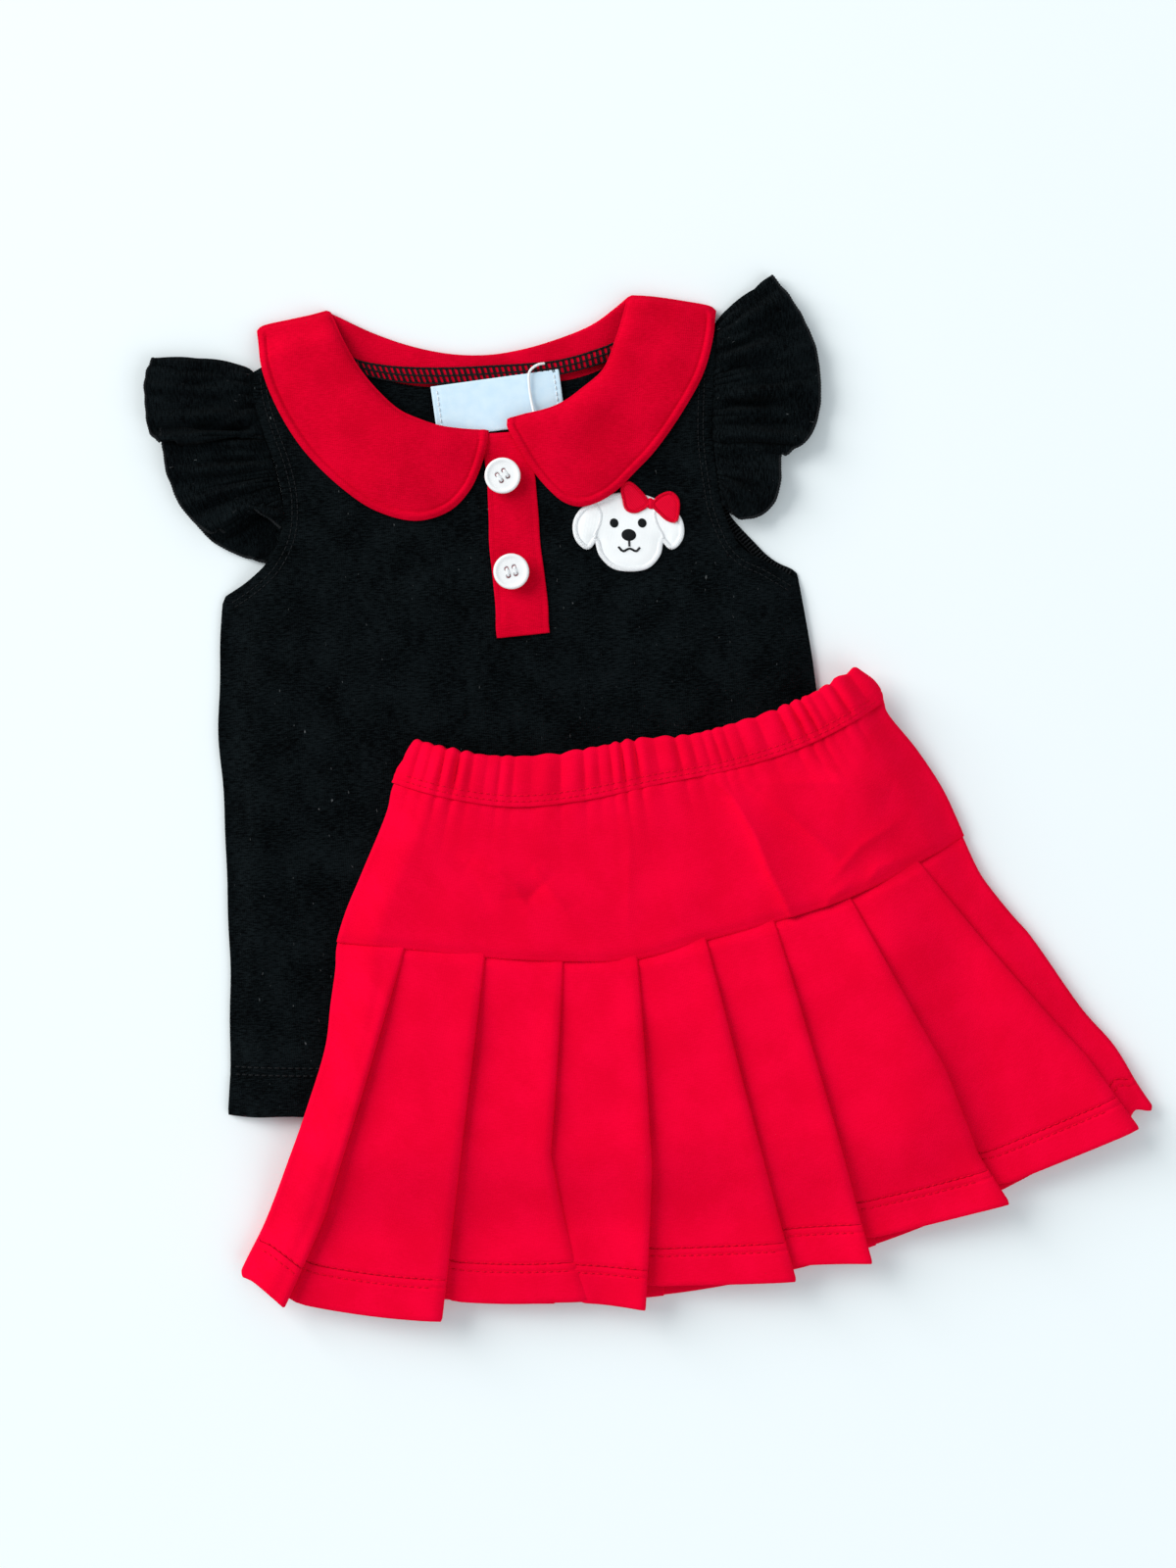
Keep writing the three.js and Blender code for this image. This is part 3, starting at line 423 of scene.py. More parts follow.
# -------------------------------------------------------------------- materials

def nodes_of(name, base, rough, spec=0.06, sheen=0.0, sheen_tint=(1, 1, 1)):
    material = bpy.data.materials.new(name)
    material.use_nodes = True
    tree = material.node_tree
    shader = tree.nodes["Principled BSDF"]
    shader.inputs["Base Color"].default_value = (*base, 1)
    shader.inputs["Roughness"].default_value = rough
    shader.inputs["Specular IOR Level"].default_value = spec
    shader.inputs["Sheen Weight"].default_value = sheen
    shader.inputs["Sheen Roughness"].default_value = 0.5
    shader.inputs["Sheen Tint"].default_value = (*sheen_tint, 1)
    return material, tree, shader


def add(tree, kind, inputs=(), **settings):
    node = tree.nodes.new(kind)
    for key, value in settings.items():
        setattr(node, key, value)
    for socket, value in dict(inputs).items():
        if isinstance(value, bpy.types.NodeSocket):
            tree.links.new(value, node.inputs[socket])
        else:
            node.inputs[socket].default_value = value
    return node


def grain_of(tree, scale=(1, 1, 1), turn=0.0):
    source = add(tree, "ShaderNodeAttribute", attribute_name="grain")
    return add(
        tree, "ShaderNodeMapping", {"Vector": source.outputs["Vector"], "Scale": scale, "Rotation": (0, 0, turn)}
    ).outputs["Vector"]


def blended(tree, factor, a, b, mode="MIX"):
    node = add(tree, "ShaderNodeMix", data_type="RGBA", blend_type=mode)
    for slot, value in ((0, factor), (6, a), (7, b)):
        if isinstance(value, bpy.types.NodeSocket):
            tree.links.new(value, node.inputs[slot])
        elif slot:
            node.inputs[slot].default_value = (*value, 1)
        else:
            node.inputs[slot].default_value = value
    return node.outputs[2]


def ramp(tree, value, low, high):
    sockets = {"Value": value, "From Min": low, "From Max": high}
    return add(tree, "ShaderNodeMapRange", sockets, clamp=True).outputs[0]


def maths(tree, operation, a, b=0.0):
    node = add(tree, "ShaderNodeMath", operation=operation)
    for slot, value in ((0, a), (1, b)):
        if isinstance(value, bpy.types.NodeSocket):
            tree.links.new(value, node.inputs[slot])
        else:
            node.inputs[slot].default_value = value
    return node.outputs[0]


def noise(tree, place, scale, detail, **more):
    return add(
        tree, "ShaderNodeTexNoise", {"Vector": place, "Scale": scale, "Detail": detail, **more}
    ).outputs["Fac"]


def wave(tree, place, pitch, way, uneven, more=()):
    """Parallel ridges at a pitch in metres, along X or Y."""
    sockets = {"Vector": place, "Scale": 2 * math.pi / 20 / pitch, "Distortion": uneven, **dict(more)}
    return add(tree, "ShaderNodeTexWave", sockets, bands_direction=way).outputs["Fac"]


def finish_shader(tree, shader, colour, relief, strength, depth):
    tree.links.new(colour, shader.inputs["Base Color"])
    bump = add(tree, "ShaderNodeBump", {"Height": relief, "Strength": strength, "Distance": depth})
    tree.links.new(bump.outputs["Normal"], shader.inputs["Normal"])


def uneven_roughness(tree, shader, value, low, high):
    grit = add(tree, "ShaderNodeMapRange", {"Value": value, "To Min": low, "To Max": high})
    tree.links.new(grit.outputs[0], shader.inputs["Roughness"])


LINT = (0.25, 0.27, 0.28)


def knit(name, deep, light, wale, course, bump, heather, rough, spec, sheen, lint=0.0, tint=(1, 1, 1)):
    """A jersey: wales and courses as fine relief, a heathered colour, and a little lint."""
    material, tree, shader = nodes_of(name, light, rough, spec, sheen, tint)
    place = grain_of(tree)
    drift = noise(tree, place, 60.0, 3.0)
    streak = noise(tree, grain_of(tree, (1.0, 5.0, 1.0)), 320.0, 5.0, Roughness=0.7)
    speck = noise(tree, place, 1500.0, 3.0, Roughness=0.8)
    mixed = maths(
        tree, "ADD", maths(tree, "MULTIPLY", streak, heather), maths(tree, "MULTIPLY", drift, 1 - heather)
    )
    mixed = maths(tree, "ADD", mixed, maths(tree, "MULTIPLY", speck, 0.35))
    colour = blended(tree, ramp(tree, mixed, 0.6, 0.76), deep, light)
    if lint:
        fluff = ramp(tree, noise(tree, grain_of(tree, (1.0, 0.35, 1.0), 0.5), 700.0, 2.0), 0.73, 0.8)
        colour = blended(tree, maths(tree, "MULTIPLY", fluff, lint), colour, LINT)
    loops = {"Detail": 1.0, "Detail Scale": 2.0}
    wales, courses = wave(tree, place, wale, "X", 0.6, loops), wave(tree, place, course, "Y", 0.6, loops)
    relief = maths(tree, "ADD", maths(tree, "MULTIPLY", wales, courses), maths(tree, "MULTIPLY", speck, 0.8))
    relief = maths(tree, "ADD", relief, maths(tree, "MULTIPLY", streak, 0.9))
    finish_shader(tree, shader, colour, relief, bump, 0.00035)
    uneven_roughness(tree, shader, speck, rough - 0.08, min(1.0, rough + 0.08))
    return material


def thread(name, deep, light, twist, rough=0.7, spec=0.12):
    """Sewing thread: fine slanting plies over a slightly uneven colour."""
    material, tree, shader = nodes_of(name, light, rough, spec)
    place = grain_of(tree, turn=0.6)
    plies = maths(tree, "ADD", wave(tree, place, twist, "X", 1.0), noise(tree, place, 1800.0, 3.0))
    finish_shader(tree, shader, blended(tree, ramp(tree, plies, 0.3, 1.3), deep, light), plies, 0.5, 0.0002)
    return material


def woven(name, deep, light, pitch, bump, rough, spec):
    """A plain weave: two crossing sets of fine yarns."""
    material, tree, shader = nodes_of(name, light, rough, spec)
    place = grain_of(tree)
    warp, weft = wave(tree, place, pitch, "X", 0.4), wave(tree, place, pitch / 1.3, "Y", 0.4)
    yarns = maths(tree, "ADD", maths(tree, "MULTIPLY", warp, weft), noise(tree, place, 240.0, 4.0))
    finish_shader(tree, shader, blended(tree, ramp(tree, yarns, 0.35, 1.2), deep, light), yarns, bump, 0.0002)
    return material


def moulded(name, colour):
    """Glossy button resin, very slightly clouded, with fine polishing marks."""
    material, tree, shader = nodes_of(name, colour, 0.22, 0.5)
    source = add(tree, "ShaderNodeTexCoord").outputs["Object"]
    cloud = ramp(tree, noise(tree, source, 220.0, 3.0), 0.3, 0.7)
    marks = noise(tree, source, 2600.0, 2.0)
    clouded = blended(tree, cloud, tuple(0.94 * c for c in colour), colour)
    finish_shader(tree, shader, clouded, marks, 0.06, 0.0001)
    uneven_roughness(tree, shader, marks, 0.16, 0.3)
    return material


JERSEY = knit(
    "black_jersey", (0.0003, 0.0007, 0.0010), (0.0055, 0.0085, 0.0100), 0.0009, 0.0007, 0.7, 0.75,
    rough=0.93, spec=0.022, sheen=0.006, lint=0.4,
)
RED_SHEEN = (1, 0.3, 0.4)
COLLAR_RED = knit(
    "collar_red", (0.58, 0.0004, 0.016), (0.73, 0.0006, 0.024), 0.0008, 0.0007, 0.3, 0.6,
    rough=0.95, spec=0.012, sheen=0.01, tint=RED_SHEEN,
)
SKIRT_RED = knit(
    "skirt_red", (0.80, 0.0004, 0.026), (0.88, 0.0006, 0.034), 0.0007, 0.0006, 0.2, 0.5,
    rough=0.92, spec=0.016, sheen=0.01, tint=RED_SHEEN,
)
BLACK_THREAD = thread("black_thread", (0.0025, 0.003, 0.0035), (0.016, 0.018, 0.020), 0.0006, 0.8, 0.05)
RED_THREAD = thread("red_thread", (0.52, 0.001, 0.014), (0.88, 0.002, 0.034), 0.0006, 0.8, 0.04)
WHITE_THREAD = thread("white_thread", (0.78, 0.81, 0.84), (0.95, 0.97, 0.99), 0.0006)
PATCH_WHITE = woven("patch_white", (0.90, 0.94, 0.96), (0.97, 0.985, 1.0), 0.0006, 0.3, 0.85, 0.1)
LABEL = woven("label_satin", (0.58, 0.79, 0.96), (0.74, 0.90, 1.0), 0.0004, 0.15, 0.45, 0.35)
ELASTIC = woven("elastic_white", (0.6, 0.6, 0.59), (0.85, 0.85, 0.84), 0.0012, 0.5, 0.8, 0.2)
BUTTON = moulded("button_white", (0.93, 0.945, 0.96))


def dress(made, body, slot, *nodes):
    """What every piece needs: its body, and the CAD nodes that it stands for, which it hides. The finish's name,
    slot, is not used.
    """
    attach(made, body)
    if nodes:
        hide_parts(*nodes)
    return made


# ------------------------------------------------------ camera, light and floor

VIEW_CENTRE = (-0.0260, 0.00545)  # the point under the middle of the picture
VIEW_HEIGHT = 0.656  # what the picture's long side spans, at the height of the cloth
CAMERA_UP = 1.2
CLOTH_AT = 0.008
camera = bpy.data.objects.new("camera", bpy.data.cameras.new("camera"))
camera.data.sensor_width = 36
camera.data.lens = 36 * (CAMERA_UP - CLOTH_AT) / VIEW_HEIGHT
camera.location = (*VIEW_CENTRE, CAMERA_UP)
bpy.context.scene.collection.objects.link(camera)
bpy.context.scene.camera = camera


def lamp(name, place, aim, size, power, colour):
    light = bpy.data.objects.new(name, bpy.data.lights.new(name, "AREA"))
    light.data.size, light.data.energy, light.data.color = size, power, colour
    light.location = place
    light.rotation_euler = (Vector(aim) - Vector(place)).to_track_quat("-Z", "Y").to_euler()
    bpy.context.scene.collection.objects.link(light)


lamp("window", (-4.3, 2.5, 2.8), (0, 0, 0), 4.0, 328, (1.0, 0.985, 0.96))
lamp("fill", (2.2, -1.9, 2.4), (0, 0, 0), 2.6, 36, (0.95, 0.98, 1.0))
world = bpy.data.worlds.new("world")
world.use_nodes = True
world.node_tree.nodes["Background"].inputs["Color"].default_value = (0.93, 0.98, 1.0, 1)
world.node_tree.nodes["Background"].inputs["Strength"].default_value = 0.49
bpy.context.scene.world = world
bpy.context.scene.view_settings.view_transform = "Standard"

floor_mesh = bpy.data.meshes.new("floor")
floor_mesh.from_pydata([(-6, -6, 0), (6, -6, 0), (6, 6, 0), (-6, 6, 0)], [], [(0, 1, 2, 3)])
floor = bpy.data.objects.new("floor", floor_mesh)
floor.location.z = -0.0003
bpy.context.scene.collection.objects.link(floor)
floor_mesh.materials.append(nodes_of("floor_white", (0.885, 0.955, 0.985), 0.8, 0.1)[0])

# ---------------------------------------------------------- the top's own shape

def lie(x, y):
    x, y = np.asarray(x, float), np.asarray(y, float)
    return x + NECK_SHIFT * (np.maximum(0, y) / NECK_Y) ** 2, y + SLANT * x


def cut(x, y):
    """Back from lain coordinates to cut ones."""
    cx, cy = np.array(x, float), np.array(y, float)
    for _ in range(4):
        cx = x - NECK_SHIFT * (np.maximum(0, cy) / NECK_Y) ** 2
        cy = y - SLANT * cx
    return cx, cy


def to_segment(x, y, a, b):
    dx, dy = b[0] - a[0], b[1] - a[1]
    t = np.clip(((x - a[0]) * dx + (y - a[1]) * dy) / (dx * dx + dy * dy), 0, 1)
    return np.hypot(x - a[0] - t * dx, y - a[1] - t * dy)


def back_lift(x, y):
    reach = np.hypot(x / COLLAR_BACK[0], (NECK_Y - y) / COLLAR_BACK[1])
    return (PLY + GAP) * (1 - ease((reach - 1) * COLLAR_BACK[1] - 6, 18))


BODY_CREASES = [
    (((-40, 34), (-70, 10), (-104, -8)), -0.5, 9, 9),
    (((-118, -20), (-96, -62), (-100, -120)), 0.6, 8, 10),
    (((-60, -60), (-84, -96), (-92, -150)), -0.5, 12, 9),
    (((70, -8), (96, -28), (118, -30)), -0.5, 8, 8),
    (((24, -30), (60, -40), (104, -52)), 0.4, 9, 9),
    (((-20, -34), (-58, -38), (-98, -30)), 0.4, 9, 8),
]


def front_z(x, y):
    """Height of the front's outer face, in lain coordinates, with its slight unevenness."""
    x, y = np.asarray(x, float), np.asarray(y, float)
    cx, cy = cut(x, y)
    side = to_segment(np.abs(cx), cy, (CHEST / 2, 0), (HEM_WIDTH / 2, -BODY_LENGTH - HEM_SAG))
    shoulder = to_segment(np.abs(cx), cy, (NECK_HALF, NECK_Y), TIP)
    puff = ease(side, 15) * ease(shoulder, 12)
    uneven = 0.5 * ripple(cx, cy, 62, 3) + 0.2 * ripple(cx, cy, 24, 4) + 1.5 * creases(cx, cy, BODY_CREASES)
    return back_lift(cx, cy) + 2 * PLY + GAP + puff * (TOP_LOFT - 1.1 + 1.1 * np.tanh((uneven - 0.4) / 1.1))


def neck(half, drop, power, steps):
    angle = np.linspace(0, math.pi, steps + 1)
    c, s = np.cos(angle), np.sin(angle)
    return np.stack([half * np.sign(c) * np.abs(c) ** (2 / power), NECK_Y - drop * np.abs(s) ** (2 / power)], 1)


# The armholes as they lie, from the underarm up.
LEFT_ARM = [
    (-120.2, 4.5), (-109, 10.6), (-101, 17.4), (-94.6, 28.4), (-92.7, 42.2), (-94.4, 56.3), (-98.6, 72),
    (-101.4, 86), (-101.6, 96.5),
]
RIGHT_ARM = [
    (119.5, -7), (107.4, 1), (99.1, 5.7), (95.4, 10.2), (92.8, 16.5), (90.4, 25.3), (89.5, 34), (88.5, 53.9),
    (89.9, 70.6), (92.2, 90), (93.8, 101),
]
BACK_ARM = [
    (119.7, -4.5), (117.6, -2.6), (112.4, 0.2), (107.4, 4.4), (103.0, 9.7), (98.0, 15.8), (94.0, 21.5),
    (90.5, 31), (89.0, 44),
]
arm_lines = {-1: curve(LEFT_ARM, 90), 1: curve(RIGHT_ARM, 90)}
back_arm = curve(BACK_ARM + RIGHT_ARM[-4:], 90)
WOBBLE = 0.3
UNDER_ROLL = 3.5  # how far the neck's edge lies in under the collar's roll


def body_outline(neck_points, right_arm):
    """The outline of the front or the back, lain, with its sides slightly uneven."""
    hem_x = np.linspace(-HEM_WIDTH / 2, HEM_WIDTH / 2, 150)
    sag = HEM_SAG * (1 - (2 * hem_x / HEM_WIDTH) ** 2)
    hem = np.stack([hem_x, -BODY_LENGTH - sag + 0.5 * ripple(hem_x, 0 * hem_x, 40, 8)], 1)
    rise_y = np.linspace(-BODY_LENGTH, 0, 120)[1:-1]
    half = CHEST / 2 + (HEM_WIDTH - CHEST) / 2 * (-rise_y / BODY_LENGTH)
    right_x = half + WOBBLE * ripple(rise_y, 0 * rise_y, 55, 9) - 0.8 * bell(rise_y + 150, 40)
    left_x = half + WOBBLE * ripple(rise_y, 0 * rise_y, 45, 10)
    left_x += 3.2 * bell(rise_y + 42, 42) - bell(rise_y + 170, 40)
    right, left = np.stack([right_x, rise_y], 1), np.stack([-left_x, rise_y], 1)[::-1]
    lain = (np.vstack([hem, right]), neck_points[1:-1] - (0, UNDER_ROLL), left)
    lower, neckline, left = (np.stack(lie(*p.T), 1) for p in lain)
    lower, left = lower[lower[:, 1] < right_arm[0, 1] - 2], left[left[:, 1] < LEFT_ARM[0][1] - 1.5]
    return np.vstack([lower, right_arm, neckline, arm_lines[-1][::-1], left])


FRONT_NECK = neck(NECK_HALF, 54, 2.45, 110)
BACK_NECK = neck(NECK_HALF, 31, 3, 110)

front_outline = body_outline(FRONT_NECK, arm_lines[1])
back_outline = body_outline(BACK_NECK, back_arm)
STITCH_IN = (3.6, 5.8)  # the two rows of the armhole's coverstitch, in from the edge
HEM_ROWS = (16.6, 19.8)
HEM_STITCHED = 132.5  # half the width over which the top's hem is stitched
share = np.linspace(-1, 1, 200)
hem_line = np.stack(lie(HEM_STITCHED * share, -BODY_LENGTH - HEM_SAG * (1 - share**2)), 1)


def front_relief(xy):
    arm = np.minimum(distance(xy, arm_lines[-1]), distance(xy, arm_lines[1]))
    hem = distance(xy, hem_line)
    dip = sum(0.32 * bell(arm - d, 0.6) for d in STITCH_IN)
    dip += sum(0.5 * bell(hem - d, 0.8) for d in HEM_ROWS)
    return 0.3 * ease(HEM_ROWS[0] - hem, 5) - dip - 0.25 * bell(arm, 0.9)


xy, triangles = filled(front_outline, 2.4, (0.8, 1.8, 3.0, 3.6, 4.2, 5.0, 5.8, 6.6))
height = front_z(xy[:, 0], xy[:, 1]) + front_relief(xy)
front = finish_piece("top_front", *slab(xy, triangles, height, height - PLY, 0.35), in_top, JERSEY)
dress(front, "top", "black_jersey", "front_panel")

xy, triangles = filled(back_outline, 3.0, (0.8, 1.8, 3.6))
cx, cy = cut(xy[:, 0], xy[:, 1])
height = back_lift(cx, cy) + PLY + 0.12 * ease(ripple(cx, cy, 40, 12))
back = finish_piece("top_back", *slab(xy, triangles, height, height - PLY, 0.35), in_top, JERSEY)
dress(back, "top", "black_jersey", "back_panel")


def surface_line(line, lift):
    return np.column_stack([line, front_z(line[:, 0], line[:, 1]) + lift])


def inward_of(line, depth, side):
    return line + side * depth * sideways(np.gradient(np.asarray(line, float), axis=0))


for side, name in ((-1, "left"), (1, "right")):
    paths = [inward_of(arm_lines[side], depth, side) for depth in STITCH_IN]
    rows = [stitches(surface_line(path, -0.12), 1.9, 2.5, 0.26) for path in paths]
    made = finish_piece(f"armhole_stitch_{name}", *joined(rows), in_top, BLACK_THREAD)
    dress(made, "top", "black_thread", f"armhole_band_{name}")

rows = [stitches(surface_line(hem_line + (0, d), -0.05), 2.0, 2.9, 0.36) for d in HEM_ROWS]
dress(finish_piece("top_hem_stitch", *joined(rows), in_top, BLACK_THREAD), "top", "black_thread")

bpy.context.view_layer.update()

# ------------------------------------------------------------------ the collar

JOINTS = {j["name"]: j for j in frame["joints"]}
NECK_MIDDLE = Vector(in_top([(-2, 92, 0)])[0])


def bend(made, joint):
    """Reads a joint's place and axis, and the way across it away from the neck's middle, then bakes the piece's
    placing into its mesh; the piece is not bent.
    """
    place, axis = Vector(JOINTS[joint]["pos_m"]), Vector(JOINTS[joint]["axis"]).normalized()
    across = axis.cross(Vector((0, 0, 1)))
    if across.dot(place - NECK_MIDDLE) < 0:
        across.negate()
    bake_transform(made)


COLLARS = {
    "left": dict(
        inner=[(-67.5, 119.6), (-62.5, 106), (-57, 94.5), (-50, 84.5), (-41.5, 75.6), (-33, 70.8), (-24, 67.3),
               (-14, 65.4), (-5.2, 64.4)],
        outer=[(-5.2, 64.4), (-5.6, 61), (-7.6, 54.5), (-10.4, 48), (-15, 40.4), (-23.7, 33), (-37.5, 30),
               (-53.6, 35.3), (-66, 44.7), (-81.5, 62.3), (-90.8, 79.5), (-96.3, 96.4), (-97.7, 112.6)],
        shoulder=[(-97.2, 114.4), (-96.1, 115.3), (-84, 117.2), (-75, 118.4), (-67.5, 119.9)],
        over=[((4, 60), 11, 0.9)],
        creases=[(((-88, 111), (-76, 94), (-70, 80)), 0.45, 5, 7),
                 (((-78, 114), (-66, 98), (-58, 86)), -0.35, 5, 5),
                 (((-30, 60), (-42, 50), (-60, 44)), 0.3, 7, 7)],
    ),
    "right": dict(
        inner=[(58.5, 115.9), (56, 108), (52.2, 98.5), (45.8, 86), (36, 78.4), (28, 73.6), (20, 71), (10.4, 69.6),
               (4.2, 68.4)],
        outer=[(4.2, 68.4), (3.8, 66), (5.4, 62), (8.5, 55.2), (13.1, 46.6), (19.4, 37.9), (25, 32.6),
               (31.5, 30.4), (39, 31.8), (46.4, 35.8), (55.2, 43.3), (63.6, 50.9), (76.4, 66.3), (86.6, 82),
               (92, 97.4), (93.6, 106)],
        shoulder=[(93.3, 107.8), (92.2, 108.8), (80, 112.2), (68, 114.8), (58.5, 116.2)],
        over=[((4, 60), 11, 0.9), ((44, 31), 13, 1.3), ((19, 58), 11, 0.9)],
        creases=[(((84, 107), (70, 92), (62, 76)), 0.4, 6, 6), (((70, 111), (60, 94), (54, 80)), -0.4, 5, 5),
                 (((58, 70), (44, 58), (26, 50)), 0.3, 8, 8)],
    ),
}
LIP = 2.8
COLLAR_RINGS = (0.45, 0.9, 1.4, 1.9, 2.4, 2.9, 3.3, 3.7, 4.2, 4.9, 5.8)


def quarter_round(depth, radius):
    """From 0 at an edge to 1 at radius in from it, as a quarter circle."""
    return np.sqrt(np.clip(1 - (1 - np.clip(depth / radius, 0, 1)) ** 2, 0, 1))


for name, shape in COLLARS.items():
    inner, outer = curve(shape["inner"], 90), curve(shape["outer"], 150)
    shoulder = curve(shape["shoulder"], 30)
    outline = np.vstack([inner[:-1], outer[:-1], shoulder[:-1]])
    xy, triangles = filled(outline, 2.0, COLLAR_RINGS)
    x, y = xy[:, 0], xy[:, 1]
    d_in, d_out, d_sh = distance(xy, inner), distance(xy, outer), distance(xy, shoulder)
    low = front_z(x, y) + 0.45 + 1.75 * ease(d_out, 17) + 0.3 * ripple(x, y, 30, 21) * ease(d_out, 14)
    for (ox, oy), width, lift in shape["over"]:
        low += lift * bell(np.hypot(x - ox, y - oy), width)
    low += creases(x, y, shape["creases"])
    high = low + 1.55 + 0.7 * np.clip(1 - ((d_out - LIP / 2) / (LIP / 2)) ** 2, 0, 1)
    high -= 0.4 * bell(d_out - LIP - 0.25, 0.5)
    high += 0.7 * bell(d_in - 8, 6)
    high -= 2.3 * (1 - quarter_round(d_in, 5))
    low -= 1.5 * bell(d_in, 3)
    high = high / 2 + high / 2 * quarter_round(d_sh, 4.5)
    low = np.minimum(0.1 + (low - 0.1) * ease(d_sh - 0.5, 2.4), high - 0.6)
    bulge = np.where(d_sh < 0.02, 1.5, np.where(d_in < 0.02, 1.0, 0.6))
    points, faces = slab(xy, triangles, high, low, bulge, 5)
    made = finish_piece(f"collar_{name}", points, faces, in_top, COLLAR_RED)
    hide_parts(f"collar_{name}_base", f"collar_{name}_under", f"collar_{name}_upper")
    bend(made, f"collar_{name}_lift")

# The stand inside the neck, the roll along the back, and the fall behind, as one sheet.
ROLL = [
    (-67.4, 118.6), (-52, 109.5), (-34, 101.6), (-18, 97.2), (-3, 95.6), (10, 96.4), (22, 98.6), (42, 104.6),
    (52, 110.6), (58.2, 115.4),
]
SEAM = [
    (-63, 108), (-58, 97.6), (-48, 92.8), (-34.5, 90.6), (-18, 89.4), (-2, 89), (14, 89), (26, 89.3), (42, 91.6),
    (52, 95.4), (55.5, 105),
]
FALL = [(-96, 112), (-94, 92), (-78, 67), (-42, 51), (-2, 46.5), (40, 47.5), (72, 60), (89, 86), (92.6, 103)]
COLUMNS = 170
roll, seam, fall = (curve(c, COLUMNS) for c in (ROLL, SEAM, FALL))
out = unit(roll - seam)
rows = []
SEAM_Z, CREST, UNDER = 2.35, 3.3, 0.46  # heights of the cloth's middle at the seam, the roll and behind
soft = 0.25 * ripple(roll[:, 0], roll[:, 1], 26, 31)
for t in np.linspace(0, 1, 9):
    rows.append(np.column_stack([seam + (roll - seam) * t, SEAM_Z + (CREST - SEAM_Z + soft) * math.sin(t * 1.4)]))
radius = (CREST - UNDER) / 2
for phi in np.linspace(0, math.pi, 10)[1:-1]:
    z = UNDER + radius + radius * math.cos(phi) + soft * (1 + math.cos(phi)) / 2
    rows.append(np.column_stack([roll + out * radius * 0.9 * math.sin(phi), z]))
for t in np.linspace(0, 1, 22):
    rows.append(np.column_stack([roll + (fall - roll) * t, np.full(COLUMNS + 1, UNDER)]))
points, faces = thick(np.stack(rows, 1)[::-1], PLY)
made = finish_piece("collar_back_fall", points, faces, in_top, COLLAR_RED)
dress(made, "top", "collar_red", "collar_stand", "collar_back")

# The neck seam: the collar's own edge folded down, overlocked in black.
UPPER = [
    (-62, 104), (-58.8, 99.8), (-47, 96), (-34.6, 94), (-18, 92.6), (-2, 92.1), (14, 91.8), (25, 92), (40, 94.6),
    (53, 99), (57, 104),
]
LOWER = [
    (-61, 98), (-57.2, 94), (-47, 90.2), (-35, 87.9), (-20, 86.5), (-2, 86), (14, 86), (26.6, 86.6), (41, 89),
    (51.7, 92.4), (56, 98),
]
upper, lower = curve(UPPER, COLUMNS), curve(LOWER, COLUMNS)
rows = []
for t in np.linspace(0, 1, 7):
    z = np.full(COLUMNS + 1, 3.0 + 0.35 * math.sin(math.pi * t) - 0.25 * t)
    rows.append(np.column_stack([upper + (lower - upper) * t, z]))
points, faces = thick(np.stack(rows, 1), 0.6)
dress(finish_piece("neck_seam_edge", points, faces, in_top, COLLAR_RED), "top", "collar_red")
parts = []
for edge, z, radius in ((upper, 3.42, 0.42), ((upper + lower) / 2, 3.75, 0.34), (lower, 3.2, 0.36)):
    parts.append(stitches(np.column_stack([edge, np.full(len(edge), z)]), 2.7, 2.35, radius, 0.25))
BAR_PITCH, BAR_SLANT = 2.5, 1.6  # the bars across: mm apart, and columns that each one slants
columns = np.arange(COLUMNS + 1)
share = np.linspace(0, 1, 5)
for k in COLUMNS * np.linspace(0.02, 0.98, int(length_of(upper) / BAR_PITCH)):
    p = on_line(upper, columns, k)
    q = on_line(lower, columns, min(k + BAR_SLANT, COLUMNS))
    for shift in (0, 0.7):
        xy = p + (q - p) * share[:, None] + (shift, 0)
        parts.append(tube(np.column_stack([xy, 3.38 + 0.38 * np.sin(math.pi * share)]), 0.3, 6))
made = finish_piece("neck_overlock", *joined(parts), in_top, BLACK_THREAD)
dress(made, "top", "black_thread", "neck_seam_tape")

# ---------------------------------------------------------- placket and buttons

PLACKET = [
    (-7.6, -21.8), (14.0, -21.2), (13.2, 20), (12.6, 45), (12.4, 63.0), (-7.2, 63.4), (-6.8, 45), (-7.4, 20),
]
BUTTONS_ON_PLACKET = [(0.8, 44.8), (0.2, 4.9)]
corners = [np.array(p, float) for p in PLACKET]
outline = []
for a, b in zip(corners, corners[1:] + corners[:1]):
    n = max(3, int(np.linalg.norm(b - a) / 1.3))
    outline.append(a + (b - a) * np.linspace(0, 1, n, endpoint=False)[:, None])
outline = np.vstack(outline)
outline[:, 0] += 0.28 * ripple(outline[:, 1], 0 * outline[:, 1], 26, 41) * ease(outline[:, 1] + 21, 6)
xy, triangles = filled(outline, 1.8, (0.5, 1.0, 1.5, 2.0, 2.5))
x, y = xy[:, 0], xy[:, 1]
edge = distance(xy, np.vstack([outline, outline[:1]]))
low = front_z(x, y) + 0.1 + 0.25 * ease(edge, 4)
high = low + 1.1 - 0.14 * bell(edge - 2.0, 0.45) + 0.12 * ripple(x, y, 16, 42) * ease(edge, 3)
high -= sum(0.45 * bell(np.hypot(x - bx, y - by), 6) for bx, by in BUTTONS_ON_PLACKET)
drop = 2.6 * ease(y - 61.5, 6.5)
points, faces = slab(xy, triangles, high - drop, low - drop - 0.2, 0.4, 4)
made = finish_piece("front_placket", points, faces, in_top, COLLAR_RED)
dress(made, "top", "collar_red", "placket")


